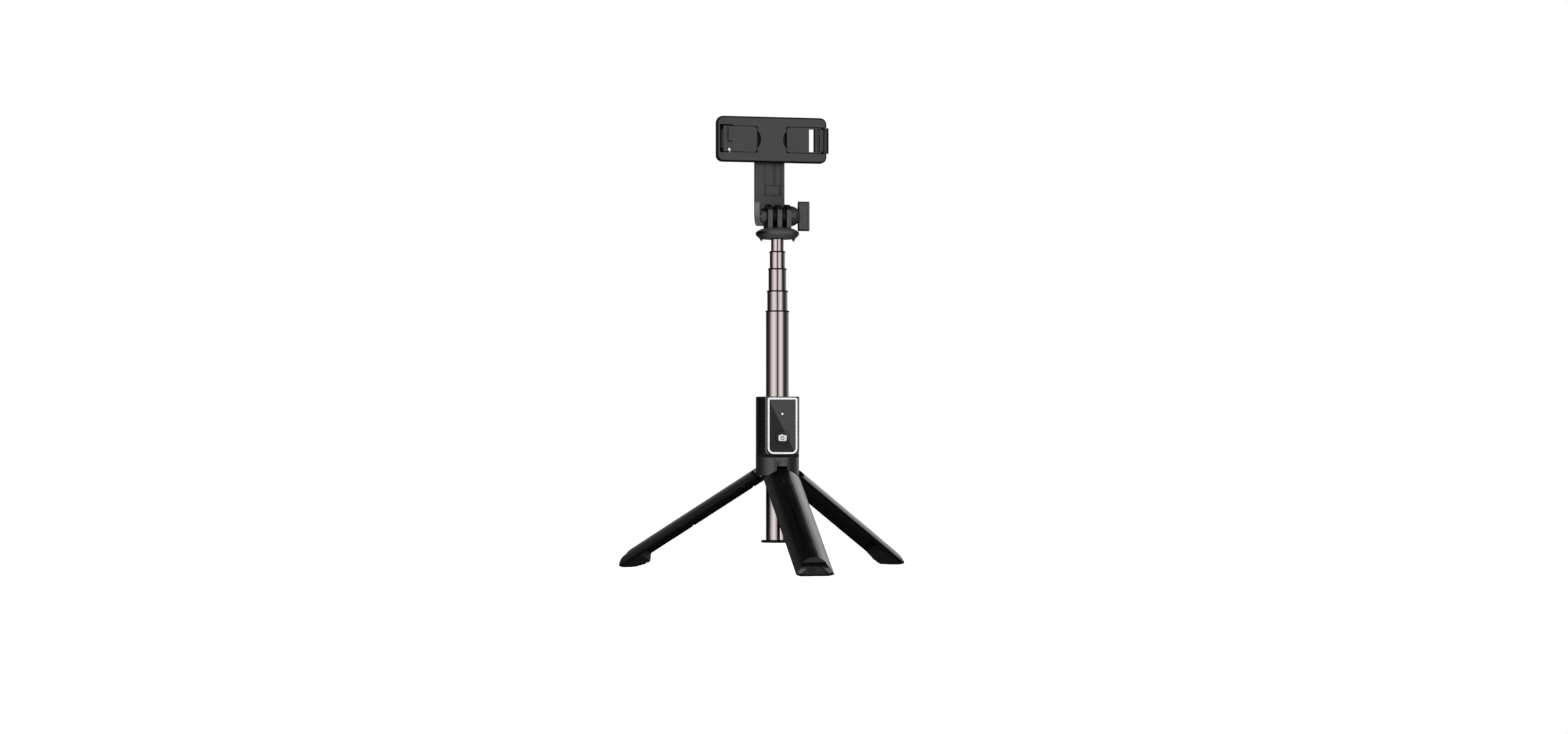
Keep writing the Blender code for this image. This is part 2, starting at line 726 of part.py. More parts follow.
# Tilt arm
def make_tilt_arm():
    heel = (9.7 * MM, -5.9 * MM)
    outer_bend = 8.5 * MM
    inner_bend = 6.0 * MM
    top = STEM_TOP - TILT_HEIGHT
    outline = [heel]
    outline += arc((STEM_BACK_Y - outer_bend, outer_bend - 5.5 * MM), outer_bend, -90, 0, 10)
    outline += arc((STEM_BACK_Y - 1.6 * MM, top - 1.6 * MM), 1.6 * MM, 0, 90, 3)
    outline += [(STEM_FRONT_Y, top)]
    outline += arc((STEM_FRONT_Y - inner_bend, inner_bend - 1.5 * MM), inner_bend, 0, -90, 8)
    outline += [(13.7 * MM, -1.3 * MM)]
    arm = flat(
        "tilt_arm",
        outline,
        -STEM_WIDTH / 2,
        STEM_WIDTH / 2,
        "X",
        MATT_BLACK,
        location=(0, 0, TILT_HEIGHT),
    )
    bevel(arm, 0.5 * MM, 1, 50)
    prong = arc((0, 0), ARM_PRONG_RADIUS, 12, 270, 16)
    prong += [heel, (16.0 * MM, -5.3 * MM), (16.0 * MM, -0.4 * MM)]
    prongs = [
        flat(
            "arm_prong_" + side,
            prong,
            sx * PRONG_PITCH / 2 - ARM_PRONG / 2,
            sx * PRONG_PITCH / 2 + ARM_PRONG / 2,
            "X",
            location=(0, 0, TILT_HEIGHT),
        )
        for side, sx in (("left", -1), ("right", 1))
    ]
    add(arm, *prongs)
    hole = rods("arm_hole", [("X", (-10 * MM, 0, TILT_HEIGHT), 20 * MM, BOLT_RADIUS + GAP)], MEDIUM)
    swivel = rods("swivel_space", [("Y", (0, 18 * MM, HOLDER_HEIGHT), 14 * MM, 2.1 * MM)], MEDIUM)
    channel = box(
        "stem_channel",
        (-3.8 * MM, STEM_FRONT_Y - 1 * MM, 244 * MM),
        (3.0 * MM, STEM_FRONT_Y + 0.6 * MM, 268 * MM),
    )
    side_channel = box(
        "stem_side_channel",
        (3.4 * MM, STEM_FRONT_Y - 1 * MM, 244 * MM),
        (7.7 * MM, STEM_FRONT_Y + 0.6 * MM, 268 * MM),
    )
    step = box(
        "stem_step",
        (-3.2 * MM, STEM_FRONT_Y - 1 * MM, 245 * MM),
        (7.1 * MM, STEM_FRONT_Y + 1.1 * MM, 251.5 * MM),
    )
    cut(arm, hole, swivel, channel, side_channel, step)
    baked(arm, 30)
    screw = rods(
        "swivel_screw",
        [
            ("Y", (0, 26.8 * MM, 0), 1.5 * MM, 4.0 * MM),
        ],
        MEDIUM,
        STEEL,
        location=(0, 0, HOLDER_HEIGHT),
    )
    bevel(screw, 0.3 * MM)
    shank = rods("swivel_shank", [("Y", (0, 17.8 * MM, HOLDER_HEIGHT), 9.6 * MM, 1.7 * MM)], SMALL)
    slots = [
        box(
            "driver_slot_%d" % i,
            (-w, 27.5 * MM, HOLDER_HEIGHT - h),
            (w, 29.0 * MM, HOLDER_HEIGHT + h),
        )
        for i, (w, h) in enumerate(((0.4 * MM, 2.2 * MM), (2.2 * MM, 0.4 * MM)))
    ]
    add(screw, shank)
    cut(screw, *slots)
    baked(screw)
    washer = rods(
        "swivel_washer",
        [("Y", (0, 26.05 * MM, 0), 0.5 * MM, 4.4 * MM)],
        MEDIUM,
        STEEL,
        location=(0, 0, HOLDER_HEIGHT),
    )
    washer_bore = rods("washer_bore", [("Y", (0, 24 * MM, HOLDER_HEIGHT), 5 * MM, 2.1 * MM)], MEDIUM)
    cut(washer, washer_bore)
    baked(washer)


# Phone holder
def holder_outline(inset=0.0):
    radius = HOLDER_CORNER - inset
    return rounded(
        HOLDER_LENGTH - 2 * inset,
        HOLDER_WIDTH - 2 * inset,
        (radius,) * 4,
        5,
        (0, HOLDER_HEIGHT),
    )


def make_holder():
    z = HOLDER_HEIGHT
    shell = flat("holder_front_shell", holder_outline(), SHELL_FRONT_Y, SHELL_BACK_Y, "Y", MATT_BLACK)
    rim = shell.modifiers.new("front_edge", "BEVEL")
    rim.width = 1.1 * MM
    rim.segments = 3
    rim.limit_method = "ANGLE"
    rim.angle_limit = math.radians(60)
    rim.use_clamp_overlap = False
    left = box("left_window", (-34.9 * MM, 10 * MM, z - WINDOW_HALF), (-9.7 * MM, 18.8 * MM, z + WINDOW_HALF))
    barrel_room = box("left_barrel_room", (-34.9 * MM, 10 * MM, z - 9.0 * MM), (-26.4 * MM, 19.6 * MM, z + 9.4 * MM))
    right = box("right_window", (9.7 * MM, 10 * MM, z - WINDOW_HALF), (45 * MM, 25 * MM, z + WINDOW_HALF))
    scoops = [
        rods("nail_scoop_" + side, [("Y", (sx * 15.6 * MM, 10 * MM, z), 7.6 * MM, 8.2 * MM)], FINE)
        for side, sx in (("left", -1), ("right", 1))
    ]
    channels = [
        box(
            "spring_channel_" + side,
            (11.6 * MM, 16.9 * MM, z + sz * SPRING_OFFSET - 2.0 * MM),
            (SPRING_END + 0.3 * MM, 25 * MM, z + sz * SPRING_OFFSET + 2.0 * MM),
        )
        for side, sz in (("lower", -1), ("upper", 1))
    ]
    links = box(
        "carriage_lug_space",
        (11.6 * MM, 17.9 * MM, z - SPRING_OFFSET),
        (31.4 * MM, 25 * MM, z + SPRING_OFFSET),
    )
    boss = rods("swivel_hole", [("Y", (0, 17.4 * MM, z), 12 * MM, 2.0 * MM)], SMALL)
    dot = rods("left_dot", [("Y", (DOT_X + 0.9 * MM, 10 * MM, z - DOT_DROP), 20 * MM, 1.5 * MM)], SMALL)
    screw_holes = rods(
        "cover_screw_holes",
        [("Y", (x, 17.2 * MM, z + dz), 8 * MM, 0.95 * MM) for x, dz in COVER_SCREWS],
        12,
    )
    cut(shell, left, barrel_room, right, *scoops, *channels, links, boss, dot, screw_holes)
    baked(shell, 30)

    cover = flat("holder_back_cover", holder_outline(0.4 * MM), SHELL_BACK_Y + GAP, COVER_BACK_Y, "Y", MATT_BLACK)
    bevel(cover, 0.5 * MM, 1, 60)
    heads = rods(
        "cover_screw_seats",
        [("Y", (x, 20.0 * MM, z + dz), 5 * MM, 1.5 * MM) for x, dz in COVER_SCREWS],
        SMALL,
    )
    slit_low = z - SLIT_HALF - 0.3 * MM
    slit_high = z + SLIT_HALF + 0.3 * MM
    slit = box("cover_slit", (SLIT_LEFT, 18 * MM, slit_low), (SLIT_RIGHT, 25 * MM, slit_high))
    cover_boss = rods("cover_swivel_hole", [("Y", (0, 18 * MM, z), 8 * MM, 2.0 * MM)], SMALL)
    cover_dot = rods("cover_dot", [("Y", (DOT_X + 1.2 * MM, 18 * MM, z - DOT_DROP), 8 * MM, 1.5 * MM)], SMALL)
    cut(cover, heads, slit, cover_boss, cover_dot)
    baked(cover, 30)

    for i, (x, dz) in enumerate(COVER_SCREWS):
        screw = rods(
            "cover_screw_%d" % (i + 1),
            [("Y", (0, 20.9 * MM, 0), 0.9 * MM, 1.2 * MM)],
            SMALL,
            STEEL,
            location=(x, 0, z + dz),
        )
        shank = rods(
            "cover_screw_shank_%d" % (i + 1),
            [("Y", (x, 17.6 * MM, z + dz), 3.6 * MM, 0.62 * MM)],
            12,
        )
        add(screw, shank)
        baked(screw)


def make_left_arm():
    z = HOLDER_HEIGHT
    hinge = (LEFT_HINGE_X, CLAMP_HINGE_Y, z)
    arm = flat(
        "clamp_arm_left",
        rounded(22.6 * MM, 2 * ARM_HALF, (1.8 * MM, 1.8 * MM, 0.4 * MM, 0.4 * MM), 3, (-21.3 * MM, z)),
        15.9 * MM,
        18.0 * MM,
        "Y",
        MATT_BLACK,
        parent=ROOT,
    )
    bevel(arm, 0.25 * MM, 1, 60)
    barrel = rods("left_barrel", [("Z", (LEFT_HINGE_X, CLAMP_HINGE_Y, z - 6.0 * MM), 12.0 * MM, 1.7 * MM)], SMALL)
    bore = rods("left_barrel_bore", [("Z", (LEFT_HINGE_X, CLAMP_HINGE_Y, z - 12 * MM), 24 * MM, 1.0 * MM)], 12)
    pad_seat = box("left_pad_seat", (-28.6 * MM, 17.2 * MM, z - 5.2 * MM), (-12.6 * MM, 20 * MM, z + 5.2 * MM))
    dot = rods("left_arm_dot", [("Y", (DOT_X, 10 * MM, z - DOT_DROP), 20 * MM, 0.95 * MM)], SMALL)
    dash = box("left_dash", (-29.9 * MM, 15 * MM, z - 2.1 * MM), (-26.6 * MM, 16.7 * MM, z - 1.3 * MM))
    groove = box("left_groove", (-29.9 * MM, 15 * MM, z - 2.1 * MM), (-29.2 * MM, 16.7 * MM, z + 7.2 * MM))
    add(arm, barrel)
    cut(arm, bore, pad_seat, dot, dash, groove)
    baked(arm, 30)
    box(
        "clamp_pad_left",
        (-28.3 * MM, 17.5 * MM, z - 4.9 * MM),
        (-12.9 * MM, 18.4 * MM, z + 4.9 * MM),
        RUBBER,
    )
    rods("clamp_pin_left", [("Z", (0, 0, -8.6 * MM), 17.6 * MM, 0.7 * MM)], 12, STEEL, location=hinge)


def make_right_jaw():
    z = HOLDER_HEIGHT
    arm = flat(
        "clamp_arm_right",
        rounded(25.2 * MM, 2 * ARM_HALF, (0.4 * MM, 0.4 * MM, 1.8 * MM, 1.8 * MM), 3, (22.6 * MM, z)),
        15.9 * MM,
        18.0 * MM,
        "Y",
        MATT_BLACK,
    )
    bevel(arm, 0.25 * MM, 1, 60)
    barrel_foot = (RIGHT_HINGE_X, CLAMP_HINGE_Y, z - BARREL_HALF)
    barrel = rods("right_barrel", [("Z", barrel_foot, 2 * BARREL_HALF, BARREL_RADIUS)], 20)
    bore = rods("right_barrel_bore", [("Z", (RIGHT_HINGE_X, CLAMP_HINGE_Y, z - 12 * MM), 24 * MM, 1.0 * MM)], 12)
    slit = box("arm_slit", (SLIT_LEFT, 10 * MM, z - SLIT_HALF), (SLIT_RIGHT, 25 * MM, z + SLIT_HALF))
    line = box("arm_line", (30.3 * MM, 15 * MM, z - SLIT_HALF), (32.4 * MM, 16.8 * MM, z + SLIT_HALF))
    pad_seat = box("right_pad_seat", (12.6 * MM, 17.2 * MM, z - 5.4 * MM), (23.6 * MM, 20 * MM, z + 5.4 * MM))
    notches = [
        box("ear_notch_" + side, (33.2 * MM, 10 * MM, low), (40 * MM, 25 * MM, low + 3 * MM))
        for side, low in (("lower", z - BARREL_HALF - 3.1 * MM), ("upper", z + BARREL_HALF + 0.1 * MM))
    ]
    add(arm, barrel)
    cut(arm, bore, slit, line, pad_seat, *notches)
    baked(arm, 30)
    box(
        "clamp_pad_right",
        (12.9 * MM, 17.5 * MM, z - 5.1 * MM),
        (23.3 * MM, 18.4 * MM, z + 5.1 * MM),
        RUBBER,
    )
    rods(
        "clamp_pin_right",
        [("Z", (0, 0, -8.3 * MM), 16.6 * MM, 0.7 * MM)],
        12,
        STEEL,
        location=(RIGHT_HINGE_X, CLAMP_HINGE_Y, z),
    )

    carriage = box(
        "jaw_carriage",
        (12.0 * MM, 18.7 * MM, z - ARM_HALF),
        (RIGHT_HINGE_X + 1.4 * MM, 20.1 * MM, z + ARM_HALF),
        DARK_PLASTIC,
    )
    lugs = [
        box(
            "carriage_lug_" + side,
            (12.6 * MM, 18.2 * MM, min(sz * 8.0 * MM, sz * 13.2 * MM) + z),
            (15.0 * MM, 20.1 * MM, max(sz * 8.0 * MM, sz * 13.2 * MM) + z),
        )
        for side, sz in (("lower", -1), ("upper", 1))
    ]
    ear_feet = (("lower", z - BARREL_HALF - 0.3 * MM - EAR_HEIGHT), ("upper", z + BARREL_HALF + 0.3 * MM))
    ears = [
        rods(
            "carriage_ear_" + side,
            [("Z", (RIGHT_HINGE_X, CLAMP_HINGE_Y, low), EAR_HEIGHT, BARREL_RADIUS)],
            20,
        )
        for side, low in ear_feet
    ]
    webs = [
        box(
            "carriage_web_" + side,
            (33.9 * MM, 17.6 * MM, low),
            (RIGHT_HINGE_X + 1.4 * MM, 19.6 * MM, low + EAR_HEIGHT),
        )
        for side, low in ear_feet
    ]
    relief = rods(
        "barrel_relief",
        [
            (
                "Z",
                (RIGHT_HINGE_X, CLAMP_HINGE_Y, z - BARREL_HALF - 0.3 * MM),
                2 * BARREL_HALF + 0.6 * MM,
                BARREL_RADIUS + 0.35 * MM,
            )
        ],
        20,
    )
    carriage_slit = box(
        "carriage_slit",
        (SLIT_LEFT, 10 * MM, z - SLIT_HALF),
        (SLIT_RIGHT, 25 * MM, z + SLIT_HALF),
    )
    pin_bore = rods("ear_bore", [("Z", (RIGHT_HINGE_X, CLAMP_HINGE_Y, z - 12 * MM), 24 * MM, 1.0 * MM)], 12)
    add(carriage, *lugs, *ears, *webs)
    cut(carriage, relief, carriage_slit, pin_bore)
    baked(carriage, 30)

    for side, sz in (("lower", -1), ("upper", 1)):
        curve = bpy.data.curves.new("jaw_spring_" + side, "CURVE")
        curve.dimensions = "3D"
        curve.bevel_depth = 0.22 * MM
        curve.bevel_resolution = 2
        curve.use_fill_caps = True
        steps = SPRING_TURNS * 8
        spline = curve.splines.new("POLY")
        spline.points.add(steps)
        for i, point in enumerate(spline.points):
            turn = 2 * math.pi * SPRING_TURNS * i / steps
            x = SPRING_START + 0.3 * MM + (SPRING_END - SPRING_START - 0.6 * MM) * i / steps
            y = 1.0 * MM * math.cos(turn)
            point.co = (x, 18.6 * MM + y, z + sz * SPRING_OFFSET + 1.0 * MM * math.sin(turn), 1.0)
        coil = bpy.data.objects.new("jaw_spring_" + side, curve)
        PARTS.objects.link(coil)
        coil.parent = ROOT
        coil = baked(coil)
        coil.data.materials.clear()
        coil.data.materials.append(material("jaw_spring_" + side, *STEEL))


# Remote
def remote_outline(inset, top, bottom, steps=5):
    height = REMOTE_TOP - REMOTE_BOTTOM - 2 * inset
    centre = (0, (REMOTE_TOP + REMOTE_BOTTOM) / 2)
    return rounded(REMOTE_WIDTH - 2 * inset, height, (bottom, top, top, bottom), steps, centre)


def make_remote():
    shell = flat(
        "remote_back_shell",
        remote_outline(0.35 * MM, 0.8 * MM, 2.8 * MM),
        REMOTE_FRONT_Y + 1.6 * MM,
        REMOTE_BACK_Y,
        "Y",
        DARK_PLASTIC,
    )
    hollow = flat(
        "remote_hollow",
        remote_outline(1.25 * MM, 0.6 * MM, 2.0 * MM),
        REMOTE_FRONT_Y - 3 * MM,
        REMOTE_BACK_Y - 0.9 * MM,
        "Y",
    )
    ridges = [
        box(
            "remote_ridge_" + side,
            (min(sx * 9.2 * MM, sx * 10.35 * MM), -12.5 * MM, 78.0 * MM),
            (max(sx * 9.2 * MM, sx * 10.35 * MM), -11.7 * MM, 109.5 * MM),
        )
        for side, sx in (("left", -1), ("right", 1))
    ]
    add(shell, *ridges)
    cut(shell, hollow)
    baked(shell, 30)

    bezel = flat(
        "remote_bezel",
        remote_outline(0.0, 1.1 * MM, 3.9 * MM),
        REMOTE_FRONT_Y,
        REMOTE_FRONT_Y + 1.3 * MM,
        "Y",
        SILVER_FRAME,
    )
    bevel(bezel, 0.25 * MM, 2, 60)
    opening = flat(
        "bezel_opening",
        remote_outline(BEZEL_WIDTH, 0.5 * MM, 2.7 * MM),
        REMOTE_FRONT_Y - 2 * MM,
        REMOTE_FRONT_Y + 4 * MM,
        "Y",
    )
    cut(bezel, opening)
    baked(bezel, 30)

    panel = flat(
        "remote_panel",
        remote_outline(BEZEL_WIDTH + 0.25 * MM, 0.4 * MM, 2.5 * MM),
        REMOTE_FRONT_Y + 0.2 * MM,
        REMOTE_FRONT_Y + 1.2 * MM,
        "Y",
        GLOSS_BLACK,
    )
    button_hole = rods(
        "button_hole",
        [("Y", (0, -20 * MM, BUTTON_HEIGHT), 9 * MM, BUTTON_RADIUS + 0.25 * MM)],
        MEDIUM,
    )
    led_hole = rods("led_hole", [("Y", (0, -20 * MM, LED_HEIGHT), 9 * MM, 0.75 * MM)], 12)
    cut(panel, button_hole, led_hole)
    baked(panel, 30)

    button = rods(
        "remote_button",
        [("Y", (0, REMOTE_FRONT_Y + 0.2 * MM, 0), 1.1 * MM, BUTTON_RADIUS)],
        MEDIUM,
        GLOSS_BLACK,
        location=(0, 0, BUTTON_HEIGHT),
    )
    bevel(button, 0.15 * MM, 1)
    rods(
        "remote_led",
        [("Y", (0, REMOTE_FRONT_Y + 0.3 * MM, 0), 0.8 * MM, 0.5 * MM)],
        12,
        LED_LENS,
        location=(0, 0, LED_HEIGHT),
    )
    box("remote_board", (-7.9 * MM, -11.75 * MM, 77.0 * MM), (7.9 * MM, -11.3 * MM, 109.0 * MM), BOARD_GREEN)
    switch = box(
        "remote_switch",
        (-2.5 * MM, -12.75 * MM, BUTTON_HEIGHT - 2.5 * MM),
        (2.5 * MM, -11.95 * MM, BUTTON_HEIGHT + 2.5 * MM),
        DARK_PLASTIC,
    )
    plunger = rods("switch_plunger", [("Y", (0, -13.35 * MM, BUTTON_HEIGHT), 1.2 * MM, 1.2 * MM)], SMALL)
    add(switch, plunger)
    baked(switch)
    rods(
        "remote_coin_cell",
        [("Y", (0, -13.65 * MM, 0), 1.3 * MM, 8.0 * MM)],
        MEDIUM,
        STEEL,
        location=(0, 0, CELL_HEIGHT),
    )
    box(
        "remote_cell_contact",
        (-2.0 * MM, -12.2 * MM, CELL_HEIGHT - 5 * MM),
        (2.0 * MM, -11.9 * MM, CELL_HEIGHT + 5 * MM),
        STEEL,
    )


def centre_on_footprint():
    """Moves the whole model so that the middle of its footprint is the origin."""
    bpy.context.view_layer.update()
    ys = []
    for made in PARTS.objects:
        if made.type == "MESH":
            ys += [(made.matrix_world @ v.co).y for v in made.data.vertices]
    ROOT.location.y = round(-(min(ys) + max(ys)) / 2, 5)


make_handle()
for leg_name, leg_turn in LEGS.items():
    make_leg(leg_name, leg_turn)
make_pole()
make_head()
make_tilt_arm()
make_holder()
make_left_arm()
make_right_jaw()
make_remote()
centre_on_footprint()
for leftover in list(CUTTERS.objects):
    bpy.data.objects.remove(leftover, do_unlink=True)
bpy.context.view_layer.update()
print("pole axis at y = %.5f" % ROOT.location.y)
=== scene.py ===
# %% [markdown]
# # A mini tripod selfie stick, finished in Blender
# The stick's solids are already modelled to size: a handle with a pull-out remote, three folding legs, a
# five-stage pole, a tilt head and a phone holder. This lesson loads them as a fixed frame and then does
# what a studio and a finisher would do: a plain pale floor, soft light, a material for every real material
# and process, and a few finer pieces where the eye lingers.

import math

import bmesh
import bpy
from mathutils import Matrix, Vector


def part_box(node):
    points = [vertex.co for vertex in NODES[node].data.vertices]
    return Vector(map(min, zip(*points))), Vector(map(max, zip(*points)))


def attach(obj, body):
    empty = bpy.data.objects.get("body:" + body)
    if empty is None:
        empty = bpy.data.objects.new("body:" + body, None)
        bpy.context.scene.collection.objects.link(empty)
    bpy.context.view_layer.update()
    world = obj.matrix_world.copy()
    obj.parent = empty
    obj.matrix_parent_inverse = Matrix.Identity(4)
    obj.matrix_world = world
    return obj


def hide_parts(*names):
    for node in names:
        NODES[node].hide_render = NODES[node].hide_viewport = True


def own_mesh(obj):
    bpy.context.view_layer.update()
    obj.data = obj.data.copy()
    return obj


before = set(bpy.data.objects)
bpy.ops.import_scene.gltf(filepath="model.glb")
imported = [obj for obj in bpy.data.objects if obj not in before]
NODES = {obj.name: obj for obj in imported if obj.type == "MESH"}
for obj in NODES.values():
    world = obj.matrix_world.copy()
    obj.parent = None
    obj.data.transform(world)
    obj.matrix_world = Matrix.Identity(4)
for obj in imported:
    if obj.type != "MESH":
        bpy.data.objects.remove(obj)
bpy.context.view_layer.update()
MM = 0.001

# %% [markdown]
# ## Places that everything hangs from
# The outermost pole tube gives the pole's axis, the remote's frame gives the place of the band below it,
# and the button gives the place of the printed pictogram. They are read from the solids, not typed in.

# %% Measure the frame
tube_low, tube_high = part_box("pole_tube_1")
POLE = (tube_low + tube_high) / 2
POLE.z = 0.0
REMOTE_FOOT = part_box("remote_bezel")[0].z
button_low, button_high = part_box("remote_button")
panel_low, panel_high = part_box("remote_panel")
print("pole axis at y = %.2f mm" % (POLE.y / MM))


# %% [markdown]
# ## Colour and nodes
# A paint chart or a colour picker gives sRGB values, and a renderer works in linear light, so one function
# turns hex into linear. One more adds a shader node with its settings and links, which keeps every
# material below to a few readable lines.

# %% Two helpers
def linear(hex_colour):
    channels = [int(hex_colour[i : i + 2], 16) / 255 for i in (1, 3, 5)]
    curve = [c / 12.92 if c <= 0.04045 else ((c + 0.055) / 1.055) ** 2.4 for c in channels]
    return (*curve, 1.0)


def node(tree, kind, inputs=None, **settings):
    """Adds a node. An input's value is either a plain value or the output socket to link from."""
    made = tree.nodes.new("ShaderNode" + kind)
    for key, value in settings.items():
        setattr(made, key, value)
    for key, value in (inputs or {}).items():
        socket = made.inputs[key]
        if isinstance(value, bpy.types.NodeSocket):
            tree.links.new(value, socket)
        else:
            socket.default_value = value
    return made


print("linear mid grey:", [round(c, 3) for c in linear("#808080")[:3]])

# %% [markdown]
# ## The camera
# A camera nearly two metres away and a little above the table sees the upright pole upright. It stands a
# little to the left of the stick's front, so that side shows too, and its lens is a short telephoto on a
# full-frame sensor. A small shift frames the stick without tilting the camera, so verticals don't converge.

# %% Camera
LENS = 65.4
SENSOR = 36.0
SHIFT_RIGHT = 0.0042
SHIFT_UP = 0.0466
DISTANCE = 1.853
CAMERA_TURN = math.radians(-12.8)
CAMERA_HEIGHT = 0.0838
camera_data = bpy.data.cameras.new("studio_camera")
camera_data.lens = LENS
camera_data.sensor_width = SENSOR
camera_data.shift_x = SHIFT_RIGHT
camera_data.shift_y = SHIFT_UP
camera = bpy.data.objects.new("studio_camera", camera_data)
bpy.context.scene.collection.objects.link(camera)
to_camera = Vector((math.sin(CAMERA_TURN), -math.cos(CAMERA_TURN), 0.0))
camera.location = POLE + to_camera * DISTANCE + Vector((0, 0, CAMERA_HEIGHT))
camera.rotation_euler = (math.pi / 2, 0.0, CAMERA_TURN)
bpy.context.scene.camera = camera
print("camera at", [round(v, 3) for v in camera.location])

# %% [markdown]
# ## Floor
# The table is white acrylic lit from below, so that the floor stays white and shadows stay faint. The glow
# is an emission on the sheet. Black flags keep that glow off the product, so the sheet is left out of
# mirror-like and soft bounces, which keeps the black plastic black.

# %% Floor
FLOOR_RADIUS = 0.55
FLOOR_SIDES = 96
FLOOR_GLOW = 0.98
floor_mesh = bpy.data.meshes.new("acrylic_floor")
bm = bmesh.new()
bmesh.ops.create_circle(bm, cap_ends=True, segments=FLOOR_SIDES, radius=FLOOR_RADIUS)
bm.to_mesh(floor_mesh)
bm.free()
floor = bpy.data.objects.new("acrylic_floor", floor_mesh)
floor.location = POLE
bpy.context.scene.collection.objects.link(floor)
acrylic = bpy.data.materials.new("lit_white_acrylic")
acrylic.use_nodes = True
sheet = acrylic.node_tree.nodes["Principled BSDF"]
sheet.inputs["Base Color"].default_value = linear("#f4f4f4")
sheet.inputs["Roughness"].default_value = 0.9
sheet.inputs["IOR"].default_value = 1.49
sheet.inputs["Emission Color"].default_value = linear("#ffffff")
sheet.inputs["Emission Strength"].default_value = FLOOR_GLOW
floor.visible_glossy = False
floor.visible_diffuse = False
floor_mesh.materials.append(acrylic)
print("floor radius in mm:", FLOOR_RADIUS / MM)

# %% [markdown]
# ## Studio light
# A polished tube mirrors the whole room. Its two bright stripes with a dark one between are a tall softbox
# on each side of the camera and the dark gap where the camera stands; its dark edges are black flags at the
# sides. All of that is drawn as two rings of brightness round the product, one at the horizon and one above
# it. Each is a list of directions, in degrees from the camera's, with the brightness there.

# %% Rings of light
HORIZON_RING = [
    (-180, 0.35), (-152, 0.14), (-138, 0.07), (-122, 0.03), (-98, 0.07), (-82, 0.15), (-66, 1.1), (-50, 2.0),
    (-34, 2.3), (-22, 2.2), (-13, 1.3), (-5, 0.05), (3, 0.05), (12, 0.9), (24, 2.2),
    (38, 2.4), (49, 1.6), (60, 0.4), (71, 0.06), (86, 0.06), (100, 0.15), (116, 0.35),
    (134, 0.8), (152, 0.9), (180, 0.5),
]
UPPER_RING = [
    (-180, 0.7), (-150, 0.35), (-125, 0.2), (-90, 0.2), (-60, 0.4), (-30, 0.35), (0, 0.12), (25, 0.5),
    (45, 0.9), (70, 0.7), (100, 0.35), (130, 0.8), (153, 1.8), (180, 0.7),
]
RING_STRENGTH = 2.5
world = bpy.data.worlds.new("studio")
bpy.context.scene.world = world
world.use_nodes = True
tree = world.node_tree
tree.nodes.clear()
view = node(tree, "TexCoord").outputs["Generated"]
direction = node(tree, "SeparateXYZ", {0: view})
backward = node(tree, "Math", {0: direction.outputs["Y"], 1: -1.0}, operation="MULTIPLY")
heading = node(tree, "Math", {0: direction.outputs["X"], 1: backward.outputs[0]}, operation="ARCTAN2")
turned = node(tree, "Math", {0: heading.outputs[0], 1: math.pi - CAMERA_TURN}, operation="ADD")
share = node(tree, "Math", {0: turned.outputs[0], 1: 1 / math.tau}, operation="MULTIPLY")
around = node(tree, "Math", {0: share.outputs[0]}, operation="FRACT").outputs[0]


def ring_of_light(directions):
    ring = node(tree, "ValToRGB", {0: around})
    ramp = ring.color_ramp
    ramp.interpolation = "EASE"
    for i, (angle, brightness) in enumerate(directions):
        position = (angle + 180) / 360
        grey = brightness / RING_STRENGTH
        stop = ramp.elements[i] if i < 2 else ramp.elements.new(position)
        stop.position = position
        stop.color = (grey, grey, grey, 1.0)
    return ring.outputs["Color"]


print("light directions:", len(HORIZON_RING) + len(UPPER_RING))


# %% [markdown]
# The horizon ring fades into the upper one between 12 and 26 degrees above the horizon, and both end in
# near black: above 54 degrees, and 24 degrees below the horizon. The fades are smooth, because a polished
# tube would show a hard edge as a line.

# %% Stack the rings
RING_EDGE = (12.0, 26.0)
UPPER_EDGE = (38.0, 54.0)
LOWER_EDGE = (-24.0, -9.0)
FLAG = (0.02, 0.02, 0.02, 1.0)


def fade(value, edges):
    low, high = edges
    return node(
        tree,
        "MapRange",
        {"Value": value, "From Min": low, "From Max": high},
        interpolation_type="SMOOTHSTEP",
    ).outputs["Result"]


def by_height(edges, below, above):
    sines = [math.sin(math.radians(edge)) for edge in edges]
    return node(
        tree,
        "Mix",
        {"Factor": fade(direction.outputs["Z"], sines), "A": below, "B": above},
        data_type="RGBA",
    ).outputs["Result"]


mirrored = by_height(RING_EDGE, ring_of_light(HORIZON_RING), ring_of_light(UPPER_RING))
mirrored = by_height(UPPER_EDGE, mirrored, FLAG)
mirrored = by_height(LOWER_EDGE, FLAG, mirrored)
print("the rings meet between", RING_EDGE[0], "and", RING_EDGE[1], "degrees")

# %% [markdown]
# Only mirror-like rays see the rings. Soft light comes mostly from the camera's side instead, so faces that
# look at the camera are mid grey and every rounded edge falls away to black. The camera itself sees plain
# white behind the product.

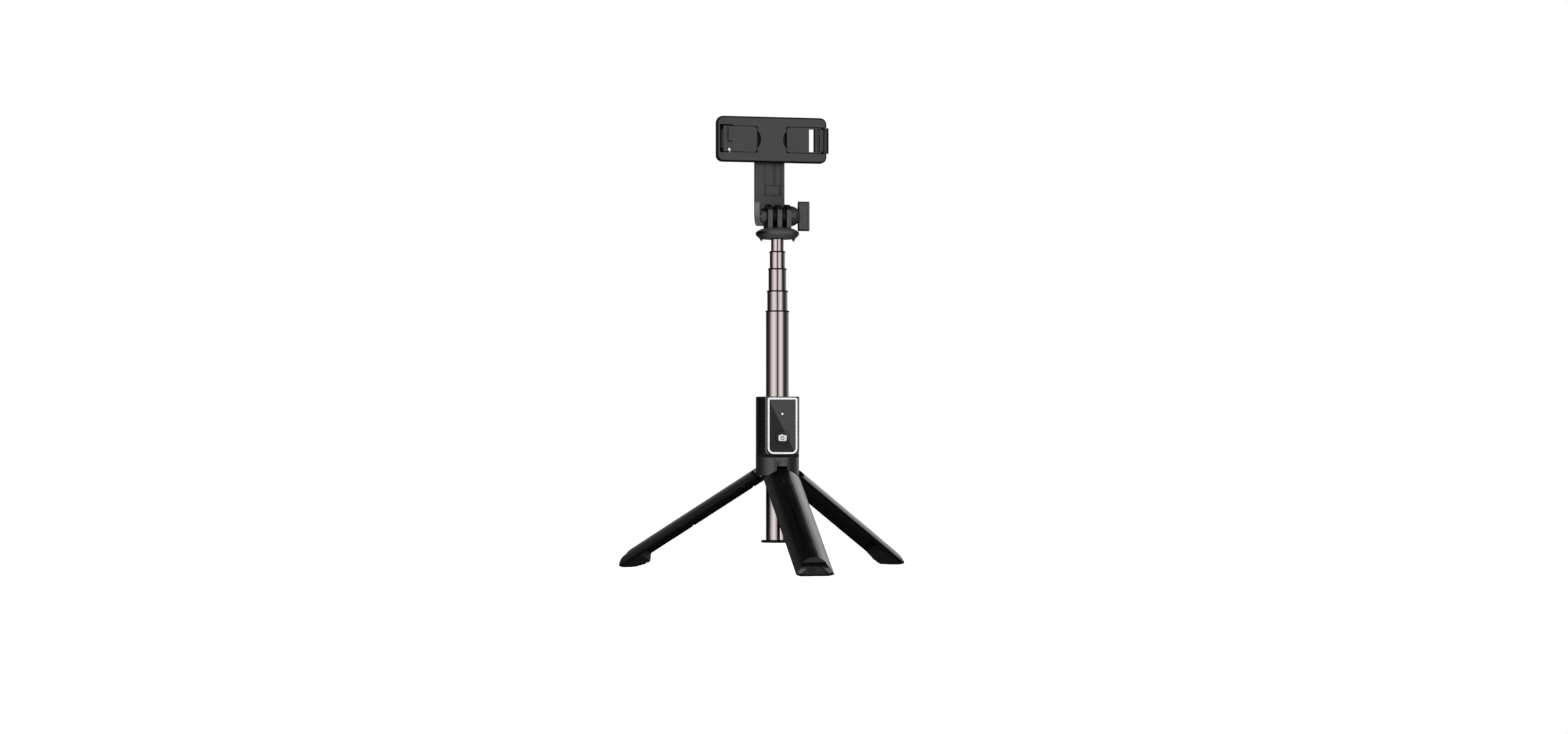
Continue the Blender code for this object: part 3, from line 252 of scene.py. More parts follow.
# %% Who sees what
FRONT_EDGE = (0.6, 0.98)
FRONT_LIGHT = (2.0, 2.0, 2.0, 1.0)
AMBIENT_LIGHT = (0.04, 0.04, 0.04, 1.0)
frontal = node(tree, "VectorMath", {0: view, 1: to_camera}, operation="DOT_PRODUCT").outputs["Value"]
soft = node(
    tree,
    "Mix",
    {"Factor": fade(frontal, FRONT_EDGE), "A": AMBIENT_LIGHT, "B": FRONT_LIGHT},
    data_type="RGBA",
    clamp_factor=True,
)
rays = node(tree, "LightPath")
mirror_light = node(tree, "Background", {"Color": mirrored, "Strength": RING_STRENGTH})
soft_light = node(tree, "Background", {"Color": soft.outputs["Result"], "Strength": 1.0})
backdrop = node(tree, "Background", {"Color": linear("#ffffff"), "Strength": 1.0})
soft_or_mirror = node(
    tree,
    "MixShader",
    {0: rays.outputs["Is Glossy Ray"], 1: soft_light.outputs[0], 2: mirror_light.outputs[0]},
)
seen = node(
    tree,
    "MixShader",
    {0: rays.outputs["Is Camera Ray"], 1: soft_or_mirror.outputs[0], 2: backdrop.outputs[0]},
)
node(tree, "OutputWorld", {0: seen.outputs[0]})
bpy.context.scene.view_settings.view_transform = "Standard"
print("studio nodes:", len(tree.nodes))


# %% [markdown]
# Light from the camera's side alone is flat. One large softbox on the left models the shapes, and a wider,
# weaker one on the right fills. Both hang a little above the stick's top. Reflections don't show these two
# lamps, since the rings already draw them.

# %% Softboxes
AIM_HEIGHT = 0.14


def softbox(name, angle, height, reach, size, power):
    lamp = bpy.data.lights.new(name, "AREA")
    lamp.shape = "DISK"
    lamp.size = size
    lamp.energy = power
    made = bpy.data.objects.new(name, lamp)
    bpy.context.scene.collection.objects.link(made)
    turn = CAMERA_TURN + math.radians(angle)
    away = Vector((math.sin(turn), -math.cos(turn), 0.0)) * reach
    made.location = POLE + away + Vector((0, 0, height))
    aim = POLE + Vector((0, 0, AIM_HEIGHT)) - made.location
    made.rotation_euler = aim.to_track_quat("-Z", "Y").to_euler()
    made.visible_glossy = False


softbox("key_softbox", angle=-38, height=0.35, reach=1.1, size=0.7, power=1.6)
softbox("fill_softbox", angle=48, height=0.3, reach=1.2, size=0.9, power=0.8)


# %% [markdown]
# ## Materials
# Each one starts from what such a part is usually made of and how its surface comes about. Every pattern
# uses the object's own coordinates in metres, so its scale is one over its real size in metres.

# %% A new finish and its pattern
def new_finish(name, colour, roughness, metallic=0.0, ior=None):
    made = bpy.data.materials.new(name)
    made.use_nodes = True
    shader = made.node_tree.nodes["Principled BSDF"]
    shader.inputs["Base Color"].default_value = linear(colour)
    shader.inputs["Roughness"].default_value = roughness
    shader.inputs["Metallic"].default_value = metallic
    if ior:
        shader.inputs["IOR"].default_value = ior
    return made, made.node_tree, shader


def pattern(tree, size, stretch=(1.0, 1.0, 1.0), detail=2.0):
    """Noise whose blobs are about size metres across, stretched along the object's axes."""
    place = node(tree, "TexCoord")
    scaled = node(tree, "Mapping", {"Vector": place.outputs["Object"], "Scale": stretch})
    noise = node(tree, "TexNoise", {"Vector": scaled.outputs[0], "Scale": 1.0 / size, "Detail": detail})
    return noise.outputs["Fac"]


print("finishes and patterns are ready")

# %% [markdown]
# Four helpers turn a pattern or a mask into something that a finisher would name: a gloss that comes and
# goes, a value or a colour that changes from place to place, and a relief of a real depth.

# %% Gloss, colour and relief
NOISE_LOW = 0.35
NOISE_HIGH = 0.65


def uneven(tree, source, low, high):
    """Spreads the values that a pattern usually has over a range."""
    return node(
        tree,
        "MapRange",
        {"Value": source, "From Min": NOISE_LOW, "From Max": NOISE_HIGH, "To Min": low, "To Max": high},
    ).outputs["Result"]


def change(tree, mask, outside, inside):
    """A value that goes from one to the other with a mask. Either may be a number or a socket."""
    return node(tree, "MapRange", {"Value": mask, "To Min": outside, "To Max": inside}).outputs["Result"]


def tint(tree, factor, dark, light):
    """A colour that goes from one to the other. Either may be a hex colour or a socket."""
    sides = [linear(side) if isinstance(side, str) else side for side in (dark, light)]
    mixed = node(tree, "Mix", {"Factor": factor, "A": sides[0], "B": sides[1]}, data_type="RGBA")
    return mixed.outputs["Result"]


def relief(tree, shader, height, depth):
    """Bump of a real depth in metres from a height between 0 and 1."""
    bump = node(tree, "Bump", {"Height": height, "Distance": depth, "Strength": 1.0})
    tree.links.new(bump.outputs["Normal"], shader.inputs["Normal"])


print("a pattern's usual values:", NOISE_LOW, "to", NOISE_HIGH)

# %% [markdown]
# Four more say where on a piece something happens: close to other surfaces, along one of its axes, on
# faces that turn one way, and where two masks agree.

# %% Where on the piece
GAP_BEGINS = 0.35


def painted_gap_shade(tree, colour, reach, depth=0.25):
    """Darkens a colour where other surfaces are closer than reach: painted shade in a gap, where light is
    lost.
    """
    near = node(tree, "AmbientOcclusion", {"Distance": reach}, samples=8)
    open_sky = node(tree, "MapRange", {"Value": near.outputs["AO"], "From Min": GAP_BEGINS, "To Min": depth})
    shade = node(tree, "Mix", {"Factor": 1.0, "A": colour}, data_type="RGBA", blend_type="MULTIPLY")
    tree.links.new(open_sky.outputs["Result"], shade.inputs["B"])
    return shade.outputs["Result"]


def rising(tree, value, low, high):
    """A mask that rises smoothly from 0 to 1 between two values."""
    return node(
        tree,
        "MapRange",
        {"Value": value, "From Min": low, "From Max": high},
        interpolation_type="SMOOTHSTEP",
    ).outputs["Result"]


def along(tree, axis, low, high):
    """A mask that rises from 0 to 1 between two places on one of the object's axes, in metres."""
    place = node(tree, "SeparateXYZ", {0: node(tree, "TexCoord").outputs["Object"]})
    return rising(tree, place.outputs[axis], low, high)


def facing(tree, axis, low, high):
    """A mask that rises from 0 to 1 as the surface turns to face either way along an axis."""
    turn = node(tree, "SeparateXYZ", {0: node(tree, "TexCoord").outputs["Normal"]})
    squareness = node(tree, "Math", {0: turn.outputs[axis]}, operation="ABSOLUTE")
    return rising(tree, squareness.outputs[0], low, high)


def both(tree, first, second):
    return node(tree, "Math", {0: first, 1: second}, operation="MULTIPLY").outputs[0]


print("masks are ready")

# %% [markdown]
# ### Glossy ABS
# The legs are injection-moulded ABS from a polished mould. The skin is black and glassy, but never flat
# like glass: it has a faint orange peel a few millimetres across, and handling leaves areas that are
# slightly duller.

# %% Glossy black ABS
ABS_IOR = 1.54
PEEL_SIZE = 5 * MM
PEEL_DEPTH = 0.004 * MM
SMEAR_SIZE = 18 * MM
GLOSS_GAP = 3 * MM
gloss_abs, tree, shader = new_finish("moulded_gloss_abs", "#080808", 0.16, ior=ABS_IOR)
peel = pattern(tree, PEEL_SIZE)
smear = pattern(tree, SMEAR_SIZE, detail=4.0)
tree.links.new(uneven(tree, smear, 0.12, 0.24), shader.inputs["Roughness"])
# painted shade darkens the skin in the gaps between parts
skin = painted_gap_shade(tree, tint(tree, smear, "#070707", "#0c0c0d"), GLOSS_GAP)
tree.links.new(skin, shader.inputs["Base Color"])
relief(tree, shader, peel, PEEL_DEPTH)
print(gloss_abs.name)

# %% [markdown]
# The handle has the same gloss, but a band below the remote is grained and shows the light as one soft glow.
# The narrow strip of gloss left between the remote and the band is dull, and painted near black as the
# shadow under the remote's frame. The gaps between parts get painted shade as well.

# %% The handle's gloss, band and strip
BAND_TOP = REMOTE_FOOT - 2.2 * MM
BAND_FADE = 0.3 * MM
STRIP_FADE = 0.1 * MM
BAND_ROUGHNESS = 0.34
STRIP_ROUGHNESS = 0.95
handle_abs, tree, shader = new_finish("handle_gloss_and_grain", "#080808", 0.16, ior=ABS_IOR)
smear = pattern(tree, SMEAR_SIZE, detail=4.0)
above_band = along(tree, "Z", BAND_TOP - BAND_FADE, BAND_TOP + BAND_FADE)
below_remote = along(tree, "Z", REMOTE_FOOT + STRIP_FADE, REMOTE_FOOT - STRIP_FADE)
shadow_strip = both(tree, above_band, below_remote)
banded = tint(tree, above_band, "#262627", tint(tree, smear, "#080808", "#0e0e0f"))
# painted shadow: the strip just under the remote's frame goes near black
with_shadow_strip = tint(tree, shadow_strip, banded, "#010101")
tree.links.new(painted_gap_shade(tree, with_shadow_strip, GLOSS_GAP), shader.inputs["Base Color"])
dull = change(tree, above_band, BAND_ROUGHNESS, uneven(tree, smear, 0.13, 0.24))
tree.links.new(change(tree, shadow_strip, dull, STRIP_ROUGHNESS), shader.inputs["Roughness"])
print(handle_abs.name, "with a band below", round(BAND_TOP / MM, 1), "mm")

# %% [markdown]
# ### Textured black plastic
# The head, the arm and the phone holder have the even, fine matt grain that a spark-eroded mould leaves.
# The real grain is about 0.1 mm; from two metres away it has to be drawn at 0.5 mm to show at all. The light
# from the camera's side would turn a fully shiny coat grey over any colour, so the specular level is low. On
# the phone holder and its clamps, what turns away from the front or the back is drawn smoother than the flat
# faces and painted black as shade, and the gaps between parts get painted shade as well.

# %% Matt textured plastic
TEXTURED_IOR = 1.5
MATT_SPECULAR = 0.15
GRAIN_SIZE = 0.5 * MM
GRAIN_DEPTH = 0.015 * MM
CLOUD_SIZE = 9 * MM
RIM_STARTS = 0.999
RIM_ENDS = 0.97
PAINTED_SHADE_BLACK = "#050505"
RIM_ROUGHNESS = 0.3
MATT_GAP = 2.2 * MM
LEFT_IN_GAP = 0.12


def spark_textured(name):
    made, tree, shader = new_finish(name, "#4a4a4b", 0.52, ior=TEXTURED_IOR)
    shader.inputs["Specular IOR Level"].default_value = MATT_SPECULAR
    grain = pattern(tree, GRAIN_SIZE, detail=3.0)
    cloud = pattern(tree, CLOUD_SIZE, detail=3.0)
    # painted shade: faces that turn away from the front and the back are drawn black
    rim_shade = facing(tree, "Y", RIM_STARTS, RIM_ENDS)
    dull = change(tree, rim_shade, uneven(tree, cloud, 0.46, 0.58), RIM_ROUGHNESS)
    tree.links.new(dull, shader.inputs["Roughness"])
    relief(tree, shader, grain, GRAIN_DEPTH)
    return made, tree, shader, tint(tree, rim_shade, tint(tree, grain, "#444445", "#4c4c4d"), PAINTED_SHADE_BLACK)


matt_abs, tree, shader, skin = spark_textured("spark_textured_abs")
# painted shade in the gaps between parts
tree.links.new(painted_gap_shade(tree, skin, MATT_GAP, LEFT_IN_GAP), shader.inputs["Base Color"])
print(matt_abs.name)

# %% [markdown]
# Light hardly reaches the hollows in the phone holder's front, so there the same plastic goes black just
# below the front face.

# %% The phone holder's front
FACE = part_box("holder_front_shell")[0].y
BLACK_BEGINS = 0.25 * MM
BLACK_ENDS = 0.5 * MM
holder_abs, tree, shader, skin = spark_textured("spark_textured_abs_holder")
below_face = along(tree, "Y", FACE + BLACK_BEGINS, FACE + BLACK_ENDS)
sunk = tint(tree, below_face, skin, "#060606")
# painted shade in the gaps between parts
tree.links.new(painted_gap_shade(tree, sunk, MATT_GAP, LEFT_IN_GAP), shader.inputs["Base Color"])
print(holder_abs.name)

# %% [markdown]
# On the head, the faces that look sideways and the prongs' round tops are painted black as shade, and the
# disc and the prongs' fronts keep their grain. The gaps between parts get painted shade as well.

# %% The head
nut_low, nut_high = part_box("head_nut")
PRONG_MIDDLE = (nut_low.z + nut_high.z) / 2
PRONG_RISE = 2 * MM
SIDEWAYS = (0.35, 0.85)
UPWARD = (0.25, 0.7)
head_abs, tree, shader = new_finish("spark_textured_abs_head", "#3a3a3b", 0.5, ior=TEXTURED_IOR)
shader.inputs["Specular IOR Level"].default_value = MATT_SPECULAR
grain = pattern(tree, GRAIN_SIZE, detail=3.0)
tree.links.new(uneven(tree, grain, 0.44, 0.56), shader.inputs["Roughness"])
looks_sideways = facing(tree, "X", *SIDEWAYS)
high_up = along(tree, "Z", PRONG_MIDDLE, PRONG_MIDDLE + PRONG_RISE)
prong_tops = both(tree, facing(tree, "Z", *UPWARD), high_up)
# painted shade: sideways faces and the prongs' round tops go black
head_shade = node(tree, "Math", {0: looks_sideways, 1: prong_tops}, operation="MAXIMUM").outputs[0]
skin = tint(tree, head_shade, tint(tree, grain, "#535354", "#5b5b5c"), PAINTED_SHADE_BLACK)
tree.links.new(painted_gap_shade(tree, skin, MATT_GAP, LEFT_IN_GAP), shader.inputs["Base Color"])
relief(tree, shader, grain, GRAIN_DEPTH)
print(head_abs.name, "with its hinge at", round(PRONG_MIDDLE / MM, 1), "mm")

# %% [markdown]
# On the outer cheek of the tilt arm's hinge the grain is drawn smoother, and painted paler as a highlight.
# The front of the arm, with its two prongs in the head's slots, is painted darker as the shade inside the
# slots.

# %% The tilt arm
CHEEK_TOP = 0.2415
CHEEK_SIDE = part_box("tilt_arm")[0].x
CHEEK_FADE = 3 * MM
CHEEK_INNER = 3.2 * MM
CHEEK_OUTER = 2.6 * MM
PRONGS_BEGIN = POLE.y + 10 * MM
PRONGS_SHADED = POLE.y + 8 * MM
GRAIN_ROUGHNESS = 0.52
CHEEK_ROUGHNESS = 0.3
arm_abs, tree, shader = new_finish("spark_textured_abs_cheek_highlight", "#3a3a3b", GRAIN_ROUGHNESS, ior=TEXTURED_IOR)
shader.inputs["Specular IOR Level"].default_value = MATT_SPECULAR
grain = pattern(tree, GRAIN_SIZE, detail=3.0)
low_down = along(tree, "Z", CHEEK_TOP, CHEEK_TOP - CHEEK_FADE)
outside = along(tree, "X", CHEEK_SIDE + CHEEK_INNER, CHEEK_SIDE + CHEEK_OUTER)
# painted highlight: the outer cheek turns pale grey
cheek_highlight = both(tree, low_down, outside)
# painted shade: the prongs inside the head's slots go dark
toward_front = along(tree, "Y", PRONGS_BEGIN, PRONGS_SHADED)
shaded_prongs = tint(tree, toward_front, tint(tree, grain, "#444445", "#4c4c4d"), "#121213")
shaded = painted_gap_shade(tree, shaded_prongs, MATT_GAP, LEFT_IN_GAP)
tree.links.new(tint(tree, cheek_highlight, shaded, "#828283"), shader.inputs["Base Color"])
tree.links.new(change(tree, cheek_highlight, GRAIN_ROUGHNESS, CHEEK_ROUGHNESS), shader.inputs["Roughness"])
relief(tree, shader, grain, GRAIN_DEPTH)
print(arm_abs.name)

# %% [markdown]
# ### Satin black plastic
# The remote's back and its switch are small mouldings with a satin skin. Their grain shows only as a slight
# change of gloss and colour.

# %% Satin plastic
SATIN_GRAIN = 0.6 * MM
satin_abs, tree, shader = new_finish("satin_moulded_abs", "#1b1b1c", 0.38, ior=TEXTURED_IOR)
grain = pattern(tree, SATIN_GRAIN, detail=3.0)
tree.links.new(uneven(tree, grain, 0.32, 0.46), shader.inputs["Roughness"])
# painted shade darkens the grain where other surfaces are closer than 1.5 mm
skin = painted_gap_shade(tree, tint(tree, grain, "#171718", "#202021"), 1.5 * MM)
tree.links.new(skin, shader.inputs["Base Color"])
print(satin_abs.name)

# %% [markdown]
# The pole's collars and its end cap are black acetal, a slippery plastic that is drawn with hardly any
# shine. The collars show as thin black lines between the bright tubes.

# %% Acetal rings
ring_black, tree, shader = new_finish("black_acetal_ring", "#070707", 0.4, ior=1.48)
shader.inputs["Specular IOR Level"].default_value = 0.2
grain = pattern(tree, 1.0 * MM, detail=3.0)
tree.links.new(uneven(tree, grain, 0.35, 0.5), shader.inputs["Roughness"])
tree.links.new(tint(tree, grain, "#050505", "#0a0a0a"), shader.inputs["Base Color"])
print(ring_black.name)

# %% [markdown]
# The thumb knob is grained ABS too, but with more shine and in one tone all over, except that its inner
# corners are darkened with painted shade.

# %% Knob
knob_abs, tree, shader = new_finish("knob_grained_abs", "#3c3c3d", 0.45, ior=TEXTURED_IOR)
grain = pattern(tree, SATIN_GRAIN, detail=3.0)
tree.links.new(uneven(tree, grain, 0.4, 0.52), shader.inputs["Roughness"])
skin = painted_gap_shade(tree, tint(tree, grain, "#323233", "#3c3c3d"), 2.0 * MM, 0.1)
tree.links.new(skin, shader.inputs["Base Color"])
print(knob_abs.name)

# %% [markdown]
# ### Rubber
# The feet and clamp pads are moulded rubber: charcoal, with no mirror in it, and a slightly dusty bloom.

# %% Rubber
rubber, tree, shader = new_finish("moulded_rubber", "#101010", 0.72, ior=1.52)
bloom = pattern(tree, 2.5 * MM, detail=5.0)
tree.links.new(uneven(tree, bloom, 0.62, 0.85), shader.inputs["Roughness"])
tree.links.new(tint(tree, bloom, "#0c0c0c", "#151515"), shader.inputs["Base Color"])
relief(tree, shader, bloom, 0.02 * MM)
print(rubber.name)

# %% [markdown]
# ### Polished gun-metal tube
# The pole is drawn stainless tube, polished along its length and tinted a warm gun-metal. Drawing leaves
# hair-fine lines along the tube, far under a tenth of a millimetre: they are drawn at 1.5 mm, stretched
# forty times along the tube, and only as a change of gloss.

# %% Polished tube
LINES_ALONG_TUBE = (1.0, 1.0, 1 / 40)
PATCHES_ALONG_TUBE = (1.0, 1.0, 0.4)
tube_steel, tree, shader = new_finish("polished_drawn_tube", "#9b9391", 0.1, metallic=1.0)
lines = pattern(tree, 1.5 * MM, stretch=LINES_ALONG_TUBE, detail=3.0)
patches = pattern(tree, 12 * MM, stretch=PATCHES_ALONG_TUBE, detail=3.0)
tree.links.new(uneven(tree, lines, 0.09, 0.11), shader.inputs["Roughness"])
tree.links.new(tint(tree, patches, "#988f8d", "#9e9694"), shader.inputs["Base Color"])
print(tube_steel.name)

# %% [markdown]
# ### Zinc-plated steel
# Leg pins, screws, nut and springs are plain steel hardware, zinc-plated in a barrel: bright, slightly
# blue, and cloudy from tumbling. The coin cell and its contact share the finish.

# %% Zinc-plated hardware
TUMBLE_SIZE = 0.8 * MM
zinc, tree, shader = new_finish("barrel_zinc_plated_steel", "#b9bcc0", 0.3, metallic=1.0)
tumble = pattern(tree, TUMBLE_SIZE, detail=4.0)
tree.links.new(uneven(tree, tumble, 0.22, 0.42), shader.inputs["Roughness"])
tree.links.new(tint(tree, tumble, "#aaaeb3", "#c6c9cc"), shader.inputs["Base Color"])
print(zinc.name)

# %% [markdown]
# The clamps' hinge pins are blackened in hot oxide salts instead, a dark metal that mirrors very little.

# %% Black-oxide pins
black_oxide, tree, shader = new_finish("black_oxide_steel", "#161617", 0.42, metallic=1.0)
tumble = pattern(tree, TUMBLE_SIZE, detail=4.0)
tree.links.new(uneven(tree, tumble, 0.36, 0.5), shader.inputs["Roughness"])
tree.links.new(tint(tree, tumble, "#111112", "#1b1b1d"), shader.inputs["Base Color"])
print(black_oxide.name)

# %% [markdown]
# ### Silver-plated frame
# The remote's frame is ABS under a vacuum-plated silver coat, brighter than the bare metals on the stick,
# with a very slight ripple. It is drawn as only partly a metal, so that it stays bright where it mirrors
# something dark.

# %% Silver frame
silver, tree, shader = new_finish("vacuum_plated_silver", "#c9c9cb", 0.3, metallic=0.6)
ripple = pattern(tree, 1.5 * MM)
tree.links.new(uneven(tree, ripple, 0.18, 0.28), shader.inputs["Roughness"])
tree.links.new(tint(tree, ripple, "#c4c4c6", "#d0d0d1"), shader.inputs["Base Color"])
print(silver.name)

# %% [markdown]
# ### Piano-black panel
# The remote's face is a clear sheet printed black from behind. Above a diagonal it is painted a lighter
# grey, as a reflection across the gloss, and below it stays deep black. The reflection's edge is a line in
# the panel's own plane, so it is drawn from the panel's coordinates, and it stays where it is from every
# side. The specular level is low, which keeps both tones dark under the light from the camera's side.

# %% Two-tone panel
PANEL_SPECULAR = 0.12
PANEL_MARGIN = 0.9 * MM
REFLECTION_EDGE = 0.15 * MM
DIAGONAL_TOP = Vector((panel_low.x, panel_high.z - PANEL_MARGIN))
DIAGONAL_LOW = Vector((panel_high.x - PANEL_MARGIN, panel_low.z + PANEL_MARGIN))
SLOPE = (DIAGONAL_LOW.y - DIAGONAL_TOP.y) / (DIAGONAL_LOW.x - DIAGONAL_TOP.x)
HEIGHT_AT_ZERO = DIAGONAL_TOP.y - SLOPE * DIAGONAL_TOP.x
panel_film, tree, shader = new_finish("printed_panel_film_painted_reflection", "#232324", 0.1, ior=1.49)
shader.inputs["Specular IOR Level"].default_value = PANEL_SPECULAR
place = node(tree, "SeparateXYZ", {0: node(tree, "TexCoord").outputs["Object"]})
line = node(
    tree,
    "Math",
    {0: place.outputs["X"], 1: SLOPE, 2: HEIGHT_AT_ZERO},
    operation="MULTIPLY_ADD",
)
above = node(tree, "Math", {0: place.outputs["Z"], 1: line.outputs[0]}, operation="SUBTRACT")
# painted reflection: the panel is lighter grey above the diagonal
painted_reflection = node(
    tree,
    "MapRange",
    {"Value": above.outputs[0], "From Min": -REFLECTION_EDGE, "From Max": REFLECTION_EDGE},
)
tree.links.new(tint(tree, painted_reflection.outputs["Result"], "#191919", "#464647"), shader.inputs["Base Color"])
dust = pattern(tree, 3 * MM, detail=4.0)
tree.links.new(uneven(tree, dust, 0.07, 0.14), shader.inputs["Roughness"])
print(panel_film.name)

# %% [markdown]
# ### Nylon and circuit board
# The bushes and sleeves are self-lubricating nylon, dark grey and faintly hazy. The circuit board is woven
# glass in green epoxy, and its weave shows as a fine chequer of two greens, 0.8 mm to a square.

# %% Nylon and board
nylon, tree, shader = new_finish("self_lubricating_nylon", "#3a3a3c", 0.5, ior=1.53)
haze = pattern(tree, 1.2 * MM, detail=3.0)
tree.links.new(tint(tree, haze, "#343436", "#444447"), shader.inputs["Base Color"])
tree.links.new(uneven(tree, haze, 0.42, 0.58), shader.inputs["Roughness"])

WEAVE = 0.8 * MM
board, tree, shader = new_finish("glass_epoxy_board", "#0f4a28", 0.35, ior=1.55)
place = node(tree, "TexCoord").outputs["Object"]
weave = node(tree, "TexChecker", {"Vector": place, "Scale": 1 / WEAVE})
weave.inputs["Color1"].default_value = linear("#0d4324")
weave.inputs["Color2"].default_value = linear("#15592f")
tree.links.new(weave.outputs["Color"], shader.inputs["Base Color"])
print(nylon.name, board.name)

# %% [markdown]
# ### Lens and ink
# The small lamp is a clear lens lit from behind, so it glows a little. The pictogram is white
# screen-printing ink, and the screen's mesh leaves it very slightly uneven.

# %% Lens and ink
lens, tree, shader = new_finish("lit_clear_lens", "#f2f6f8", 0.15, ior=1.49)
glow = pattern(tree, 0.5 * MM)
tree.links.new(tint(tree, glow, "#e6eef2", "#ffffff"), shader.inputs["Base Color"])
shader.inputs["Emission Color"].default_value = linear("#f4f8ff")
shader.inputs["Emission Strength"].default_value = 0.7

ink, tree, shader = new_finish("white_screen_ink", "#ffffff", 0.45, ior=1.5)
mesh_marks = pattern(tree, 0.3 * MM)
tree.links.new(tint(tree, mesh_marks, "#f6f6f6", "#ffffff"), shader.inputs["Base Color"])
print(lens.name, ink.name)

# %% [markdown]
# ## Dressing the solids
# Every solid gets the finish of its own material. The table goes by the start of a piece's name, so the
# three legs or all the tubes take one line.

# %% Which finish each node gets
LOOKS = {
    "handle_body": handle_abs,
    "leg_shell": gloss_abs,
    "leg_foot": rubber,
    "clamp_pad": rubber,
    "leg_pin": zinc,
    "clamp_pin": black_oxide,
    "cover_screw": zinc,
    "swivel": zinc,
    "jaw_spring": zinc,
    "head_nut": zinc,
    "thumb_bolt": zinc,
    "remote_coin_cell": zinc,
    "remote_cell_contact": zinc,
    "pole_tube": tube_steel,
    "pole_collar": ring_black,
    "pole_end_cap": ring_black,
    "thumb_knob": knob_abs,
    "jaw_carriage": matt_abs,
    "remote_back_shell": satin_abs,
    "remote_switch": satin_abs,
    "pole_sleeve": nylon,
    "lower_guide": nylon,
    "upper_guide": nylon,
    "head_base": head_abs,
    "tilt_arm": arm_abs,
    "holder_front_shell": holder_abs,
    "holder_back_cover": matt_abs,
    "clamp_arm": matt_abs,
    "remote_bezel": silver,
    "remote_panel": panel_film,
    "remote_button": panel_film,
    "remote_led": lens,
    "remote_board": board,
}
print("finishes in use:", len(set(LOOKS.values())))

# %% [markdown]
# The solids come as separate facets, so a Weld joins their edges, a small Bevel rounds the arrises as a
# mould or a tumbler would, and shading is smooth except across real corners. The modifiers leave the
# solids' own meshes as they are.

# %% Dress them
EDGE_ROUND = {
    "handle_body": 0.22 * MM,
    "leg_shell": 0.5 * MM,
    "leg_foot": 0.6 * MM,
    "head_base": 0.2 * MM,
    "tilt_arm": 0.2 * MM,
    "thumb_knob": 0.15 * MM,
    "holder": 0.1 * MM,
    "clamp_arm": 0.12 * MM,
    "remote_bezel": 0.2 * MM,
    "pole_end_cap": 0.12 * MM,
}
WELD_GAP = 0.002 * MM
REAL_CORNER = math.radians(38)


def match(table, name):
    return next((value for key, value in table.items() if name.startswith(key)), None)


def dress(piece, look, edge):
    piece.data.materials.clear()
    piece.data.materials.append(look)
    weld = piece.modifiers.new("join_facets", "WELD")
    weld.merge_threshold = WELD_GAP
    if edge:
        soften = piece.modifiers.new("moulded_edges", "BEVEL")
        soften.width = edge
        soften.segments = 2
        soften.limit_method = "ANGLE"
        soften.angle_limit = REAL_CORNER
        soften.use_clamp_overlap = True
        soften.harden_normals = True


for name, piece in NODES.items():
    dress(piece, match(LOOKS, name), match(EDGE_ROUND, name))
print("dressed:", len(NODES), "without a look:", [n for n in NODES if not match(LOOKS, n)])


# %% [markdown]
# ## From a curve to a piece
# Print and wire are both drawn as curves, which are easy to think in: an outline with a fill, or a path
# with a round section. A piece of the stick has to be a mesh, so one function turns a curve into one.

# %% Turn a curve into a piece
def piece_from_curve(curve, name, look):
    drawn = bpy.data.objects.new(name + "_curve", curve)
    bpy.context.scene.collection.objects.link(drawn)
    bpy.context.view_layer.update()
    mesh = bpy.data.meshes.new_from_object(drawn.evaluated_get(bpy.context.evaluated_depsgraph_get()))
    bpy.data.objects.remove(drawn)
    mesh.name = name
    mesh.materials.clear()
    mesh.materials.append(look)
    made = bpy.data.objects.new(name, mesh)
    bpy.context.scene.collection.objects.link(made)
    return made


print("curves can become pieces")

# %% [markdown]
# ## The pictogram on the shutter button
# The button is marked with a plain white camera. Its outline is a filled 2D curve: a rounded body with a
# hump for the viewfinder, a ring cut out for the lens, and the lens filled again.

# %% The camera's outline
PRINT_WIDTH = 5.3 * MM
PRINT_HEIGHT = 3.7 * MM
PRINT_CORNER = 0.8 * MM
HUMP_WIDTH = 2.0 * MM
HUMP_HEIGHT = 0.5 * MM
HUMP_INSET = 0.5 * MM
HUMP_SLANT = 0.3 * MM
LENS_RING = 1.25 * MM
LENS_DISC = 0.75 * MM


def quarter(centre, radius, first, steps=5):
    angles = [math.radians(first - 90 * i / steps) for i in range(steps + 1)]
    return [(centre[0] + radius * math.cos(a), centre[1] + radius * math.sin(a)) for a in angles]


def camera_outline():
    x = PRINT_WIDTH / 2 - PRINT_CORNER
    z = PRINT_HEIGHT / 2 - PRINT_CORNER
    top = PRINT_HEIGHT / 2
    hump_top = top + HUMP_HEIGHT
    hump_left = -x + HUMP_INSET
    hump_right = hump_left + HUMP_WIDTH
    outline = quarter((x, z), PRINT_CORNER, 90) + quarter((x, -z), PRINT_CORNER, 0)
    outline += quarter((-x, -z), PRINT_CORNER, -90) + quarter((-x, z), PRINT_CORNER, 180)
    outline += [(hump_left, top), (hump_left + HUMP_SLANT, hump_top)]
    outline += [(hump_right - HUMP_SLANT, hump_top), (hump_right, top)]
    return outline


def circle(radius, steps=32):
    turns = [math.tau * i / steps for i in range(steps)]
    return [(radius * math.cos(t), radius * math.sin(t)) for t in turns]


print("outline points:", len(camera_outline()))

# %% [markdown]
# The print is 0.02 mm thick and lies on the button's front face, a little below its middle. It rides on the
# button, so it goes in with it.

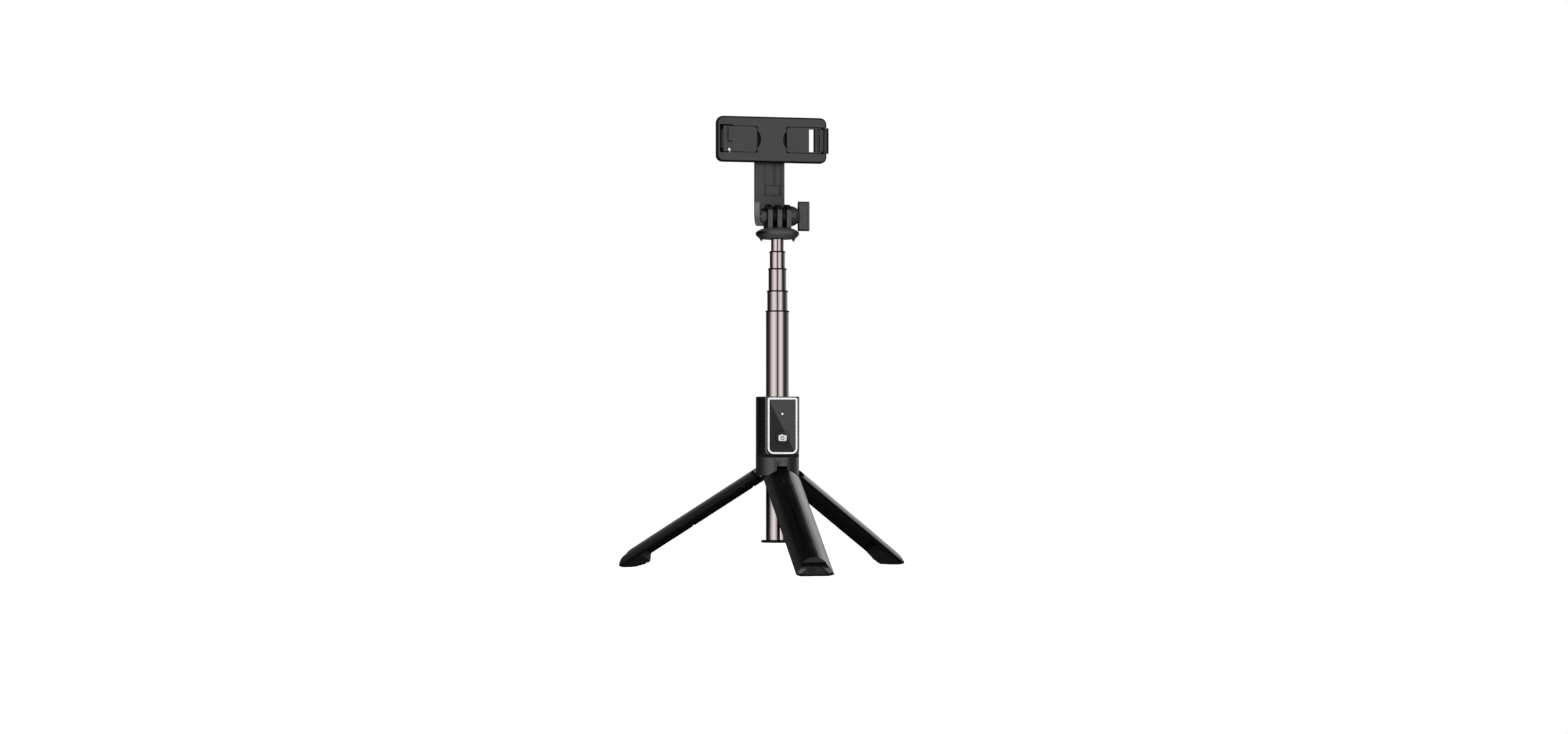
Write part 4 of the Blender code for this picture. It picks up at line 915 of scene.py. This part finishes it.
# %% Print it on the button
PRINT_DROP = 0.4 * MM
INK_THICKNESS = 0.02 * MM
print_curve = bpy.data.curves.new("shutter_pictogram", "CURVE")
print_curve.dimensions = "2D"
print_curve.fill_mode = "BOTH"
print_curve.extrude = INK_THICKNESS / 2
for outline in (camera_outline(), circle(LENS_RING), circle(LENS_DISC)):
    spline = print_curve.splines.new("POLY")
    spline.points.add(len(outline) - 1)
    spline.use_cyclic_u = True
    for point, (x, z) in zip(spline.points, outline):
        point.co = (x, z, 0.0, 1.0)
pictogram = piece_from_curve(print_curve, "shutter_pictogram", ink)
button_middle = (button_low + button_high) / 2
upright = Matrix.Rotation(math.pi / 2, 4, "X")
on_button = Vector((button_middle.x, button_low.y - INK_THICKNESS / 2, button_middle.z - PRINT_DROP))
pictogram.data.transform(Matrix.Translation(on_button) @ upright)
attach(pictogram, "shutter_button")
print("pictogram faces:", len(pictogram.data.polygons))

# %% [markdown]
# ## The jaw's springs
# Two coil springs pull the phone clamp shut. They are wound from 0.44 mm piano wire, seven turns each, and
# the sliding carriage squeezes them against the end of their channel as the jaw opens. A curve along a
# helix, given a round section, is the plainest way to wind wire. The coils take the place of the coarser
# ones.

# %% Wind the two springs
SPRING_TURNS = 7
STEPS_PER_TURN = 20
WIRE_RADIUS = 0.22 * MM


def wind(name, node_name):
    low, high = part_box(node_name)
    middle = (low + high) / 2
    coil_radius = (high.z - low.z) / 2 - WIRE_RADIUS
    length = high.x - low.x - 2 * WIRE_RADIUS
    helix = bpy.data.curves.new(name, "CURVE")
    helix.dimensions = "3D"
    helix.bevel_depth = WIRE_RADIUS
    helix.bevel_resolution = 3
    helix.use_fill_caps = True
    steps = SPRING_TURNS * STEPS_PER_TURN
    spline = helix.splines.new("POLY")
    spline.points.add(steps)
    for i, point in enumerate(spline.points):
        turn = math.tau * SPRING_TURNS * i / steps
        x = low.x + WIRE_RADIUS + length * i / steps
        y = middle.y + coil_radius * math.cos(turn)
        point.co = (x, y, middle.z + coil_radius * math.sin(turn), 1.0)
    coil = piece_from_curve(helix, name, zinc)
    faces = coil.data.polygons
    faces.foreach_set("use_smooth", [True] * len(faces))
    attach(coil, "holder")
    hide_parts(node_name)
    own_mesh(coil)
    return len(faces)


for side in ("lower", "upper"):
    print("spring faces:", wind("coil_spring_" + side, "jaw_spring_" + side))
